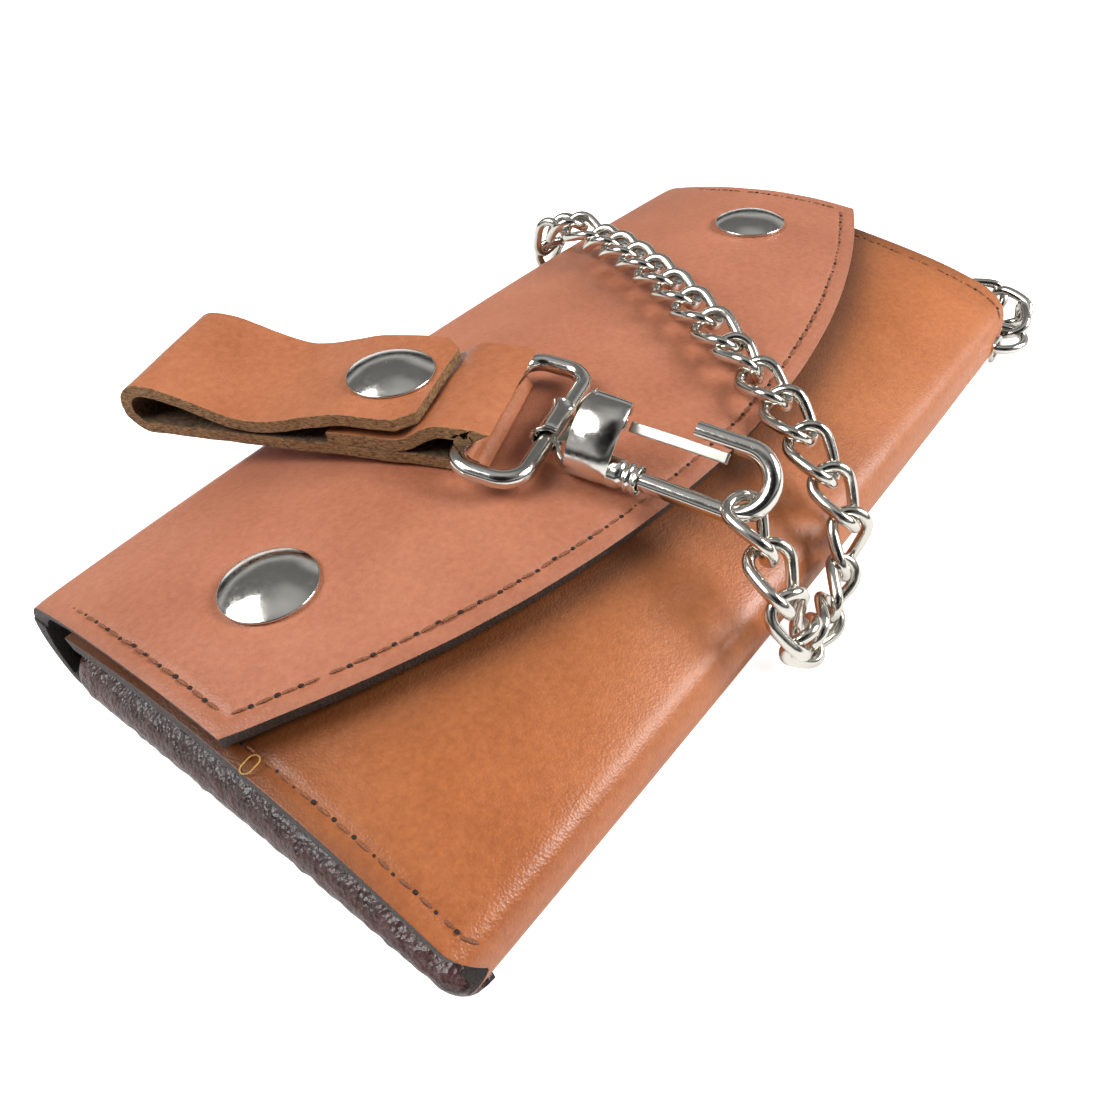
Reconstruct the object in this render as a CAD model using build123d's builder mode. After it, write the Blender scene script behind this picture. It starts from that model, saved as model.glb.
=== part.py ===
from build123d import *
import os
from math import cos, floor, hypot, radians, sin, sqrt

# A long leather wallet with a flap, carried on a chain.
# X runs along the wallet, Y across it from the rounded fold to the spine, Z up.
# The wallet lies on its back on Z = 0, with the origin under the middle of its back.

os.makedirs("parts", exist_ok=True)

# ---------------------------------------------------------------- wallet body
length = 178.0            # long side of the wallet
leather = 1.8             # tanned cover leather
lining = 1.0              # black lining leather
crown = 2.2               # rise of the top at mid length over the short ends
spine_y = 42.3            # crease where the flap starts
spine_z = 19.5            # height of that crease at the short ends
spine_belly = 5.6         # how far the spine bulges past the crease
spine_belly_z = 6.0
back_spine_y = 45.0       # where the flat back turns up into the spine
back_fold_y = 42.5        # where the flat back turns up into the fold
fold_belly_y = 45.6       # outermost point of the rounded fold
fold_belly_z = 5.0
fold_top_y = 44.2         # where the fold turns into the front panel
fold_top_z = 10.8
belly_growth = 1.0        # extra bulge of spine and fold at mid length
panel_mid_y = -14.0       # the front panel is arched through this point
panel_mid_z = 18.3
panel_edge_y = 36.0       # upper edge of the front panel, under the flap
panel_edge_z = 16.6
fold_corner = 9.0         # corner radius of the cover at the ring's end of the fold
near_corner = 3.5         # and at its other end
back_trim = 0.1           # the back is cut flat this far inside the section's lowest line

# ----------------------------------------------------------------------- flap
flap_mid_y = 9.0          # the flap is arched through this point
flap_mid_z = 24.4
flap_front_y = -30.0
flap_front_z = 20.2
flap_end_y = -6.0         # free edge at the short ends
flap_tip_y = -28.3        # free edge at mid length

# ---------------------------------------------------------------------- snaps
snap_x = 68.0             # flap snaps, each side of mid length
snap_y = 8.6
cap_diameter = 15.0
cap_height = 2.3
cap_wall = 0.5
snap_bed = 0.3            # how deep each snap part is pressed into its leather
socket_diameter = 12.4
socket_wall = 1.6
stud_base_diameter = 10.6
stud_base = 0.8
stud_head_diameter = 7.6
stud_clearance = 0.5      # round the stud head, in the socket
snap_play = 0.15          # between socket and stud base
rivet_diameter = 3.4
post_flange_diameter = 10.6
post_flange = 0.7

# --------------------------------------------------------------------- inside
board = 1.0               # one pocket leaf
pocket_step = 10.0        # each card pocket is this much shorter than the last
pocket_count = 3
pocket_end = 11.0         # pocket leaves behind the short ends
pocket_front_y = -36.0
pocket_back_y = 38.0
lining_inset = 0.4        # lining edge behind the cover edge
gusset = 1.1              # black gusset leather
gusset_reach = 8.4        # depth of a gusset fold
gusset_fold = 6.8         # height of a gusset fold
divider = 0.8
divider_front_y = -33.0
divider_back_y = 30.0

# ---------------------------------------------------------------------- chain
wire = 1.9                # chain wire
link_length = 12.5        # outside length
link_width = 8.9          # outside width
link_slack = 0.65         # slack at each meeting of two links
link_roll = 36.0          # alternate links lean this much each way
chain_play = 0.25         # between chain and what it lies on

# ------------------------------------------------------- corner ring, eyelet
ring_wire = 1.9
ring_radius = 4.8         # to the middle of the wire
ring_play = 0.35
eyelet_end = 10.4         # from the short end
eyelet_z = 4.8
eyelet_hole = 3.4
eyelet_flange = 5.8
eyelet_wall = 0.5
eyelet_bed = 0.35         # how deep its flanges press into the leather

# ----------------------------------------------------------------- clip, gate
loop_wire = 3.0
loop_inner = 28.4         # inside length of the strap loop
loop_depth = 11.4         # between the middles of its two bars
loop_corner = 4.0
loop_x = -19.2            # middle of the bar that the clip turns on
loop_y = -5.7
loop_yaw = 16.0
loop_pitch = 8.0
clip_sheet = 0.9
curl_play = 0.1
curl_length = 8.5
hook_wire = 3.0
hook_gap = 10.0           # between the middles of rod and tip
hook_yaw = 9.0
hook_pitch = 6.0
hook_roll = 44.0
hook_back = 16.9          # bar to the start of the rod's free length
hook_side = 3.8           # rod beside the bar's middle
hook_lift = 3.7           # and in front of it, in the hook's own plane
shield_length = 8.5
shield_rise = 4.4
shield_over = 2.4         # shield past rod and tip, each side
rod_length = 14.4
tip_length = 8.4
sleeve_length = 8.0
gate_sheet = 0.6
gate_width = 3.0
gate_play = 0.15
gate_pivot = -4.0         # from the start of the rod's free length
gate_reach = 12.0

# ------------------------------------------------------------------ belt loop
strap_width = 25.4
strap = 2.2
strap_yaw = 22.0
strap_x = -19.75          # outermost point of the wrap round the bar
strap_y = 0.0
strap_seat = 0.2          # over the flap
wrap_room = 3.6           # inside the wrap round the bar
wrap_length = 9.8
return_start = 18.0       # where the returned end meets the main layer
return_end = 30.0
glued = 0.2               # how far the returned end is pressed into the main layer
strap_length = 68.8       # wrap to the far fold
belt_gap = 5.2            # inside the far fold
leaf_low = 44.0           # where the upper leaf sags nearest the main layer
leaf_sag_gap = 0.4
leaf_end = 14.5
belt_snap_u = 23.0
leaf_chamfer = 3.0

half_length = length / 2
eyelet_x = half_length - eyelet_end
cover_total = leather + lining
pocket_half_length = half_length - pocket_end


def bulge(x):
    """Share of the mid-length crown that is left at x, one at mid length, none at the ends."""
    return 1 - (x / half_length) ** 2


def circle_through(a, m, b):
    """Centre and radius of the circle through three points."""
    d = 2 * (a[0] * (m[1] - b[1]) + m[0] * (b[1] - a[1]) + b[0] * (a[1] - m[1]))
    sa, sm, sb = (p[0] ** 2 + p[1] ** 2 for p in (a, m, b))
    cy = (sa * (m[1] - b[1]) + sm * (b[1] - a[1]) + sb * (a[1] - m[1])) / d
    cz = (sa * (b[0] - m[0]) + sm * (a[0] - b[0]) + sb * (m[0] - a[0])) / d
    return cy, cz, hypot(a[0] - cy, a[1] - cz)


def arch_height(y, a, m, b):
    """Height at y of the upward arch through three points."""
    cy, cz, r = circle_through(a, m, b)
    return cz + sqrt(r * r - (y - cy) ** 2)


def cover_points(b, t):
    """Corner and middle points of the cover's section, t inside its outer face, at bulge b."""
    top = crown * b
    return dict(
        crease=(spine_y - 0.68 * t, spine_z + top - 0.85 * t),
        spine=(spine_y + spine_belly + belly_growth * b - t, spine_belly_z),
        back_spine=(back_spine_y - 0.6 * t, t or -back_trim),
        back_fold=(-back_fold_y + 0.3 * t, t or -back_trim),
        fold=(-fold_belly_y - belly_growth * b + t, fold_belly_z),
        fold_top=(-fold_top_y + 0.75 * t, fold_top_z + 0.5 * top - 0.75 * t),
        panel_mid=(panel_mid_y, panel_mid_z + top - t),
        panel_edge=(panel_edge_y, panel_edge_z + top - t),
    )


def flap_points(b, t):
    """Rear, middle and front points of the flap's section, t under its outer face, at bulge b."""
    top = crown * b
    return (
        (spine_y - 0.68 * t, spine_z + top - 0.85 * t),
        (flap_mid_y, flap_mid_z + top - t),
        (flap_front_y, flap_front_z + top - t),
    )


def flap_top(x, y, t=0.0):
    """Height of the flap's outer face over a point, or of a face t under it."""
    rear, mid, front = flap_points(bulge(x), t)
    return arch_height(y, rear, mid, front)


def panel_top(x, y, t=0.0):
    """Height of the front panel's outer face over a point, or of a face t under it."""
    p = cover_points(bulge(x), t)
    return arch_height(y, p["fold_top"], p["panel_mid"], p["panel_edge"])


def cover_band(b, t0, t1):
    """Closed outline of the C-shaped band between t0 and t1 inside the cover's outer face."""
    o, i = cover_points(b, t0), cover_points(b, t1)
    with BuildLine() as outline:
        ThreePointArc(o["crease"], o["spine"], o["back_spine"])
        Line(o["back_spine"], o["back_fold"])
        ThreePointArc(o["back_fold"], o["fold"], o["fold_top"])
        ThreePointArc(o["fold_top"], o["panel_mid"], o["panel_edge"])
        Line(o["panel_edge"], i["panel_edge"])
        ThreePointArc(i["panel_edge"], i["panel_mid"], i["fold_top"])
        ThreePointArc(i["fold_top"], i["fold"], i["back_fold"])
        Line(i["back_fold"], i["back_spine"])
        ThreePointArc(i["back_spine"], i["spine"], i["crease"])
        Line(i["crease"], o["crease"])
    return outline.line


def flap_band(b, t0, t1):
    """Closed outline of the flap's section between t0 and t1 under its outer face."""
    o, i = flap_points(b, t0), flap_points(b, t1)
    with BuildLine() as outline:
        ThreePointArc(*o)
        Line(o[2], i[2])
        ThreePointArc(i[2], i[1], i[0])
        Line(i[0], o[0])
    return outline.line


def inner_room(b, t):
    """Closed outline of the room t inside the cover's outer face."""
    p = cover_points(b, t)
    with BuildLine() as outline:
        ThreePointArc(p["crease"], p["spine"], p["back_spine"])
        Line(p["back_spine"], p["back_fold"])
        ThreePointArc(p["back_fold"], p["fold"], p["fold_top"])
        ThreePointArc(p["fold_top"], p["panel_mid"], p["panel_edge"])
        Line(p["panel_edge"], p["crease"])
    return outline.line


def plan_of_cover(inset):
    """Plan outline that rounds the two corners of the cover at the ends of the fold."""
    x, y = half_length - inset, fold_belly_y + belly_growth
    reach = 2 * spine_y
    with BuildLine() as outline:
        FilletPolyline((-x, reach), (-x, -y), (x, -y), (x, reach),
                       radius=[near_corner, fold_corner])
        Line((x, reach), (-x, reach))
    return outline.line


def plan_of_flap(inset):
    """Plan outline of the flap, its free edge one long arc."""
    x = half_length - inset
    with BuildLine() as outline:
        ThreePointArc((-x, flap_end_y + inset), (0, flap_tip_y + inset), (x, flap_end_y + inset))
        Line((x, flap_end_y + inset), (x, 2 * spine_y))
        Line((x, 2 * spine_y), (-x, 2 * spine_y))
        Line((-x, 2 * spine_y), (-x, flap_end_y + inset))
    return outline.line


stations = (-half_length, 0.0, half_length)
tall = 4 * spine_z


def snap_axis(x):
    """Plane of a flap snap: its origin in the flap's outer face and Z out of the leather."""
    slope = -2 * crown * x / half_length ** 2
    return Plane(origin=(x, snap_y, flap_top(x, snap_y)), x_dir=(1, 0, slope), z_dir=(-slope, 0, 1))


snap_planes = {"near": snap_axis(-snap_x), "far": snap_axis(snap_x)}
snap_gap = flap_top(snap_x, snap_y, cover_total) - panel_top(snap_x, snap_y)

# The corner ring lies level, through the eyelet and round the rounded corner of the cover.
fold_x_bulge = bulge(eyelet_x)
fold_face_y = fold_belly_y + belly_growth * fold_x_bulge
ring_x = eyelet_x + ring_radius
ring_y = -(fold_face_y - leather / 2)


with BuildPart() as ring_room:
    with BuildSketch(Plane.XY.offset(eyelet_z - ring_wire / 2 - ring_play)):
        with Locations((ring_x, ring_y)):
            Circle(ring_radius + ring_wire / 2 + ring_play)
    extrude(amount=ring_wire + 2 * ring_play)

# ============================================================ cover and lining
with BuildPart() as cover_leather:
    for x in stations:
        with BuildSketch(Plane.YZ.offset(x)):
            add(cover_band(bulge(x), 0, leather))
            make_face()
    loft()
    with BuildSketch(Plane.XY):
        add(plan_of_cover(0))
        make_face()
    extrude(amount=tall, mode=Mode.INTERSECT)
    for plane in snap_planes.values():
        with BuildSketch(plane.offset(-cover_total - snap_gap - leather - lining)):
            Circle(rivet_diameter / 2)
        extrude(amount=2 * leather + lining, mode=Mode.SUBTRACT)
        with BuildSketch(plane.offset(-cover_total - snap_gap - leather - lining)):
            Circle(post_flange_diameter / 2)
        extrude(amount=lining, mode=Mode.SUBTRACT)
        with BuildSketch(plane.offset(-cover_total - snap_gap - snap_bed)):
            Circle(stud_base_diameter / 2)
        extrude(amount=2 * snap_bed, mode=Mode.SUBTRACT)
    with BuildSketch(Plane.XZ.offset(fold_face_y - 2 * leather)):
        with Locations((eyelet_x, eyelet_z)):
            Circle(eyelet_hole / 2 + eyelet_wall)
    extrude(amount=4 * leather, mode=Mode.SUBTRACT)
    with BuildSketch(Plane.XZ.offset(fold_face_y - eyelet_bed)):
        with Locations((eyelet_x, eyelet_z)):
            Circle(eyelet_flange / 2)
    extrude(amount=leather, mode=Mode.SUBTRACT)
    with BuildSketch(Plane.XZ.offset(fold_face_y - leather - leather)):
        with Locations((eyelet_x, eyelet_z)):
            Circle(eyelet_flange / 2)
    extrude(amount=leather + eyelet_bed, mode=Mode.SUBTRACT)
cover_leather.part.label = "cover_leather"

with BuildPart() as cover_lining:
    for x in stations:
        with BuildSketch(Plane.YZ.offset(x)):
            add(cover_band(bulge(x), leather, cover_total))
            make_face()
    loft()
    with BuildSketch(Plane.XY):
        add(plan_of_cover(lining_inset))
        make_face()
    extrude(amount=tall, mode=Mode.INTERSECT)
    for plane in snap_planes.values():
        with BuildSketch(plane.offset(-cover_total - snap_gap - leather - 2 * lining)):
            Circle(post_flange_diameter / 2 + snap_play)
        extrude(amount=2 * lining + snap_bed, mode=Mode.SUBTRACT)
    with BuildSketch(Plane.XZ.offset(fold_face_y - 4 * leather)):
        with Locations((eyelet_x, eyelet_z)):
            Circle(eyelet_flange / 2 + ring_play)
    extrude(amount=6 * leather, mode=Mode.SUBTRACT)
    add(ring_room.part, mode=Mode.SUBTRACT)
cover_lining.part.label = "cover_lining"

# ============================================================ pocket leaves and gussets
with BuildPart() as pocket_board:
    with BuildSketch(Plane.XY.offset(cover_total)):
        with Locations((0, (pocket_front_y + pocket_back_y) / 2)):
            Rectangle(2 * pocket_half_length, pocket_back_y - pocket_front_y)
    extrude(amount=board)
pocket_board.part.label = "pocket_board"

card_pockets = []
for number in range(1, pocket_count + 1):
    pocket_back = pocket_back_y - number * pocket_step
    with BuildPart() as card_pocket:
        with BuildSketch(Plane.XY.offset(cover_total + number * board)):
            with Locations((0, (pocket_front_y + pocket_back) / 2)):
                Rectangle(2 * pocket_half_length, pocket_back - pocket_front_y)
        extrude(amount=board)
    card_pocket.part.label = f"card_pocket_{number}"
    card_pockets.append(card_pocket.part)

divider_z = cover_total + gusset_fold
gusset_root = half_length - lining_inset - gusset_reach
with BuildPart() as bill_divider:
    with BuildSketch(Plane.XY.offset(divider_z)):
        with Locations((0, (divider_front_y + divider_back_y) / 2)):
            Rectangle(2 * gusset_root, divider_back_y - divider_front_y)
    extrude(amount=divider)
bill_divider.part.label = "bill_divider"

# The room that the gussets fill: inside the lining, rounded like the cover.
with BuildPart() as gusset_room:
    for x in stations:
        with BuildSketch(Plane.YZ.offset(x)):
            add(inner_room(bulge(x), cover_total))
            make_face()
    loft()
    with BuildSketch(Plane.XY):
        add(plan_of_cover(lining_inset))
        make_face()
    extrude(amount=tall, mode=Mode.INTERSECT)

gusset_levels = (cover_total + gusset_fold / 2, divider_z + divider + gusset_fold / 2)
gussets = {}
for name, side in (("gusset_near", -1), ("gusset_far", 1)):
    root_x = side * gusset_root
    with BuildPart() as gusset_part:
        with BuildSketch(Plane.XZ.offset(-back_spine_y)):
            for level in gusset_levels:
                with Locations((root_x, level)):
                    Ellipse(gusset_reach, gusset_fold / 2)
                    Ellipse(gusset_reach - gusset, gusset_fold / 2 - gusset, mode=Mode.SUBTRACT)
                    with Locations((-side * gusset_reach / 2, 0)):
                        Rectangle(gusset_reach, gusset_fold, mode=Mode.SUBTRACT)
            # Web that joins the two folds, where the divider's end is sewn in.
            with Locations((root_x + side * gusset, divider_z + divider / 2)):
                Rectangle(2 * gusset, divider + gusset)
        extrude(amount=back_spine_y - pocket_front_y + board)
        add(gusset_room.part, mode=Mode.INTERSECT)
        add(ring_room.part, mode=Mode.SUBTRACT)
    gusset_part.part.label = name
    gussets[name] = gusset_part.part

# ============================================================ flap
with BuildPart() as flap_leather:
    for x in stations:
        with BuildSketch(Plane.YZ.offset(x)):
            add(flap_band(bulge(x), 0, leather))
            make_face()
    loft()
    with BuildSketch(Plane.XY):
        add(plan_of_flap(0))
        make_face()
    extrude(amount=tall, mode=Mode.INTERSECT)
    for plane in snap_planes.values():
        with BuildSketch(plane.offset(-2 * leather)):
            Circle(rivet_diameter / 2)
        extrude(amount=4 * leather, mode=Mode.SUBTRACT)
        with BuildSketch(plane.offset(-snap_bed)):
            Circle(cap_diameter / 2)
        extrude(amount=2 * leather, mode=Mode.SUBTRACT)
flap_leather.part.label = "flap_leather"

with BuildPart() as flap_lining:
    for x in stations:
        with BuildSketch(Plane.YZ.offset(x)):
            add(flap_band(bulge(x), leather, cover_total))
            make_face()
    loft()
    with BuildSketch(Plane.XY):
        add(plan_of_flap(0))
        make_face()
    extrude(amount=tall, mode=Mode.INTERSECT)
    for plane in snap_planes.values():
        with BuildSketch(plane.offset(-2 * cover_total)):
            Circle(rivet_diameter / 2)
        extrude(amount=4 * cover_total, mode=Mode.SUBTRACT)
        with BuildSketch(plane.offset(-cover_total - lining)):
            Circle(socket_diameter / 2)
        extrude(amount=lining + snap_bed, mode=Mode.SUBTRACT)
flap_lining.part.label = "flap_lining"


# ============================================================ snaps
# Each snap is turned about its own axis; heights are measured down from the outer face it sits in.
def snap_profile(plane):
    """Plane through a snap's axis, so that a profile in it can be turned about that axis."""
    return Plane(origin=plane.origin, x_dir=plane.x_dir, z_dir=-plane.y_dir)


def turn(plane):
    """Axis of a snap."""
    return Axis(plane.origin, plane.z_dir)


def make_cap(plane, under):
    """Domed cap with its rivet, which goes down to the depth given."""
    r = cap_diameter / 2
    with BuildPart() as cap:
        with BuildSketch(snap_profile(plane)):
            with BuildLine():
                ThreePointArc((0, cap_height), (0.62 * r, 0.7 * cap_height), (r - cap_wall / 2, cap_wall))
                ThreePointArc((r - cap_wall / 2, cap_wall), (r, cap_wall / 2), (r - cap_wall / 2, 0))
                Line((r - cap_wall / 2, 0), (r - cap_wall / 2, -snap_bed))
                Line((r - cap_wall / 2, -snap_bed), (0, -snap_bed))
                Line((0, -snap_bed), (0, cap_height))
            make_face()
            with BuildLine():
                Line((0, -snap_bed), (0, -under))
                Line((0, -under), (rivet_diameter / 2, -under))
                Line((rivet_diameter / 2, -under), (rivet_diameter / 2, -snap_bed))
                Line((rivet_diameter / 2, -snap_bed), (0, -snap_bed))
            make_face()
        revolve(axis=turn(plane))
    return cap.part


def make_socket(plane, top, height):
    """Spring socket: a ring with a thin roof, from a depth under the plane's origin downwards."""
    cavity = stud_head_diameter / 2 + stud_clearance
    with BuildPart() as socket:
        with BuildSketch(plane.offset(-top - height)):
            Circle(socket_diameter / 2)
        extrude(amount=height)
        with BuildSketch(plane.offset(-top - height)):
            Circle(cavity)
        extrude(amount=height - snap_bed, mode=Mode.SUBTRACT)
        chamfer(socket.edges().group_by(SortBy.LENGTH)[-1], cap_wall / 2)
        with BuildSketch(plane.offset(-top - height)):
            Circle(rivet_diameter / 2)
        extrude(amount=2 * height, mode=Mode.SUBTRACT)
    return socket.part


def make_stud(plane, seat, head):
    """Stud: a base pressed into the leather at a depth, with a head that rises from it."""
    with BuildPart() as stud:
        with BuildSketch(plane.offset(-seat)):
            Circle(stud_base_diameter / 2)
        extrude(amount=stud_base)
        with BuildSketch(plane.offset(-seat + stud_base)):
            Circle(stud_head_diameter / 2)
        extrude(amount=head)
        fillet(stud.edges().filter_by(GeomType.CIRCLE).sort_by(Axis(plane.origin, plane.z_dir))[-1:],
               head / 4)
        with BuildSketch(plane.offset(-seat)):
            Circle(rivet_diameter / 2)
        extrude(amount=stud_base, mode=Mode.SUBTRACT)
    return stud.part


def make_post(plane, flange_top, shank):
    """Post: a flange under the leather and a shank up into the stud."""
    with BuildPart() as post:
        with BuildSketch(plane.offset(-flange_top - post_flange)):
            Circle(post_flange_diameter / 2)
        extrude(amount=post_flange)
        with BuildSketch(plane.offset(-flange_top)):
            Circle(rivet_diameter / 2)
        extrude(amount=shank)
    return post.part


stud_seat = cover_total + snap_gap + snap_bed
socket_top = cover_total - snap_bed
socket_height = stud_seat - stud_base - snap_play - socket_top
stud_head = socket_height - 2 * snap_bed
snap_parts = {}
for name, plane in snap_planes.items():
    snap_parts[f"snap_cap_{name}"] = make_cap(plane, socket_top + snap_bed)
    snap_parts[f"snap_socket_{name}"] = make_socket(plane, socket_top, socket_height)
    snap_parts[f"snap_stud_{name}"] = make_stud(plane, stud_seat, stud_head)
    snap_parts[f"snap_post_{name}"] = make_post(
        plane, stud_seat - snap_bed + leather, leather - snap_bed + stud_base)

# ============================================================ eyelet and corner ring
eyelet_out = fold_face_y - eyelet_bed
eyelet_in = fold_face_y - leather + eyelet_bed
with BuildPart() as corner_eyelet:
    with BuildSketch(Plane.XZ.offset(eyelet_in - eyelet_wall)):
        with Locations((eyelet_x, eyelet_z)):
            Circle(eyelet_hole / 2 + eyelet_wall)
    extrude(amount=eyelet_out - eyelet_in + 2 * eyelet_wall)
    for level in (eyelet_in - eyelet_wall, eyelet_out):
        with BuildSketch(Plane.XZ.offset(level)):
            with Locations((eyelet_x, eyelet_z)):
                Circle(eyelet_flange / 2)
        extrude(amount=eyelet_wall)
    with BuildSketch(Plane.XZ.offset(eyelet_in - 2 * eyelet_wall)):
        with Locations((eyelet_x, eyelet_z)):
            Circle(eyelet_hole / 2)
    extrude(amount=eyelet_out - eyelet_in + 4 * eyelet_wall, mode=Mode.SUBTRACT)
corner_eyelet.part.label = "corner_eyelet"

with BuildPart() as corner_ring:
    with BuildSketch(Plane(origin=(ring_x, ring_y, eyelet_z), x_dir=(1, 0, 0), z_dir=(0, -1, 0))):
        with Locations((ring_radius, 0)):
            Circle(ring_wire / 2)
    revolve(axis=Axis((ring_x, ring_y, eyelet_z), (0, 0, 1)))
corner_ring.part.label = "corner_ring"

# ============================================================ clip planes
loop_along = Vector(cos(radians(loop_yaw)), sin(radians(loop_yaw)), 0)
loop_across = Vector(-sin(radians(loop_yaw)) * cos(radians(loop_pitch)),
                     cos(radians(loop_yaw)) * cos(radians(loop_pitch)), sin(radians(loop_pitch)))
curl_radius = loop_wire / 2 + curl_play + clip_sheet
bar_middle = Vector(loop_x, loop_y, flap_top(loop_x, loop_y) + curl_radius + chain_play)

hook_along = Vector(sin(radians(hook_yaw)) * cos(radians(hook_pitch)),
                    -cos(radians(hook_yaw)) * cos(radians(hook_pitch)), -sin(radians(hook_pitch)))
hook_level = Vector(cos(radians(hook_yaw)), sin(radians(hook_yaw)), 0)
hook_up = hook_along.cross(hook_level)
hook_across = hook_level * cos(radians(hook_roll)) + hook_up * sin(radians(hook_roll))
hook_front = hook_along.cross(hook_across)
rod_start = bar_middle + hook_along * hook_back - hook_across * hook_side + hook_front * hook_lift
# In the hook's plane X runs along the rod, Y from rod to tip, Z out of the hook's plane.
hook_plane = Plane(origin=rod_start, x_dir=hook_along, z_dir=hook_front)
gate_y = hook_gap - hook_wire / 2 + gate_sheet / 4


def hook_point(x, y, z=0.0):
    """A point of the hook's plane in the wallet's own coordinates."""
    return rod_start + hook_along * x + hook_across * y + hook_front * z


def hook_section(x):
    """Plane across the rod at x, with X from rod to tip and Y out of the hook's plane."""
    return Plane(origin=hook_point(x, 0), x_dir=hook_across, z_dir=hook_along)


with BuildPart() as hook:
    with BuildLine(hook_plane) as hook_path:
        rod = Line((-sleeve_length, 0), (rod_length, 0))
        bend = ThreePointArc((rod_length, 0), (rod_length + hook_gap / 2, hook_gap / 2),
                             (rod_length, hook_gap))
        tip = Line((rod_length, hook_gap), (rod_length - tip_length, hook_gap))
    with BuildSketch(hook_section(-sleeve_length)):
        Circle(hook_wire / 2)
    sweep(path=hook_path.line)
    with BuildSketch(hook_section(rod_length - tip_length - gate_play)):
        with Locations((gate_y, 0)):
            Rectangle(gate_sheet + 2 * gate_play, hook_wire)
    extrude(amount=gate_reach - rod_length + tip_length + 4 * gate_play, mode=Mode.SUBTRACT)
hook.part.label = "hook"

with BuildPart() as gate:
    with BuildSketch(hook_section(gate_pivot)):
        with Locations((gate_y, 0)):
            Rectangle(gate_sheet, gate_width)
    extrude(amount=gate_reach - gate_pivot)
gate.part.label = "gate"

shield_middle = hook_gap / 2
shield_half = hook_gap / 2 + shield_over
shield_back = -sleeve_length - shield_over
with BuildPart() as clip_body:
    with BuildSketch(hook_section(shield_back)):
        with BuildLine():
            ThreePointArc((shield_middle - shield_half, 0), (shield_middle, shield_rise),
                          (shield_middle + shield_half, 0))
            Line((shield_middle + shield_half, 0), (shield_middle + shield_half - clip_sheet, 0))
            ThreePointArc((shield_middle + shield_half - clip_sheet, 0),
                          (shield_middle, shield_rise - clip_sheet),
                          (shield_middle - shield_half + clip_sheet, 0))
            Line((shield_middle - shield_half + clip_sheet, 0), (shield_middle - shield_half, 0))
        make_face()
    extrude(amount=shield_length)
    # Flange that closes over the root of the gate.
    with BuildSketch(hook_section(shield_back)):
        with Locations((shield_middle + shield_half - clip_sheet / 2, -gate_width / 4)):
            Rectangle(clip_sheet, gate_width / 2 + 2 * clip_sheet)
        with Locations(((gate_y + shield_middle + shield_half - clip_sheet) / 2, -gate_width / 4)):
            Rectangle(shield_middle + shield_half - gate_y, clip_sheet)
    extrude(amount=gate_pivot - gate_play - shield_back)
    with BuildSketch(hook_section(shield_back)):
        with Locations((gate_y, 0)):
            Rectangle(gate_sheet, gate_width)
    extrude(amount=gate_pivot - gate_play - shield_back)
    # Sleeve rolled round the rod.
    with BuildSketch(hook_section(-sleeve_length)):
        Circle(hook_wire / 2 + clip_sheet)
    extrude(amount=sleeve_length)
    # Neck from the curl up into the shield.
    with BuildSketch(Plane(origin=bar_middle + hook_along * (curl_radius - clip_sheet),
                           x_dir=hook_level, z_dir=hook_along)):
        Rectangle(curl_length - clip_sheet, clip_sheet)
    with BuildSketch(hook_section(shield_back)):
        with Locations((shield_middle, shield_rise - clip_sheet / 2)):
            Rectangle(shield_half, clip_sheet)
    loft()
    # Curl round the loop's bar.
    with BuildSketch(Plane(origin=bar_middle - loop_along * (curl_length / 2), x_dir=hook_up,
                           z_dir=loop_along)):
        Circle(curl_radius)
    extrude(amount=curl_length)
    with BuildSketch(Plane(origin=bar_middle - loop_along * curl_length, x_dir=hook_up,
                           z_dir=loop_along)):
        Circle(curl_radius - clip_sheet)
    extrude(amount=2 * curl_length, mode=Mode.SUBTRACT)
    with BuildSketch(hook_section(-2 * sleeve_length)):
        Circle(hook_wire / 2)
    extrude(amount=3 * sleeve_length, mode=Mode.SUBTRACT)
clip_body.part.label = "clip_body"

with BuildPart() as wire_loop:
    loop_plane = Plane(origin=bar_middle + loop_across * (loop_depth / 2), x_dir=loop_along,
                       z_dir=loop_along.cross(loop_across))
    half_loop = (loop_inner + loop_wire) / 2
    with BuildLine(loop_plane) as loop_path:
        FilletPolyline((0, -loop_depth / 2), (half_loop, -loop_depth / 2),
                       (half_loop, loop_depth / 2), (0, loop_depth / 2), radius=loop_corner)
    with BuildSketch(Plane(origin=bar_middle, x_dir=loop_across, z_dir=loop_along)):
        Circle(loop_wire / 2)
    sweep(path=loop_path.line)
    mirror(about=Plane(origin=bar_middle, x_dir=loop_across, z_dir=loop_along))
wire_loop.part.label = "wire_loop"

# ============================================================ belt loop
strap_along = Vector(-sin(radians(strap_yaw)), cos(radians(strap_yaw)), 0)
strap_across = Vector(cos(radians(strap_yaw)), sin(radians(strap_yaw)), 0)
strap_foot = Vector(strap_x, strap_y, 0) + strap_along * wrap_length
strap_origin = Vector(strap_x, strap_y, flap_top(strap_foot.X, strap_foot.Y) + strap_seat)
# In the strap's plane X runs from the wrap to the far fold and Y up, from the strap's underside.
strap_plane = Plane(origin=strap_origin, x_dir=strap_along, z_dir=strap_across)
main_middle = strap / 2
wrap_radius = (wrap_room + strap) / 2
wrap_centre = wrap_radius + strap / 2
wrap_top = main_middle + 2 * wrap_radius
return_middle = main_middle + strap - glued
fold_radius = (belt_gap + strap) / 2
fold_centre = strap_length - fold_radius - strap / 2
fold_top_middle = main_middle + 2 * fold_radius
leaf_at_snap = return_middle + strap + snap_gap
leaf_lowest = main_middle + strap + leaf_sag_gap

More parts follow.
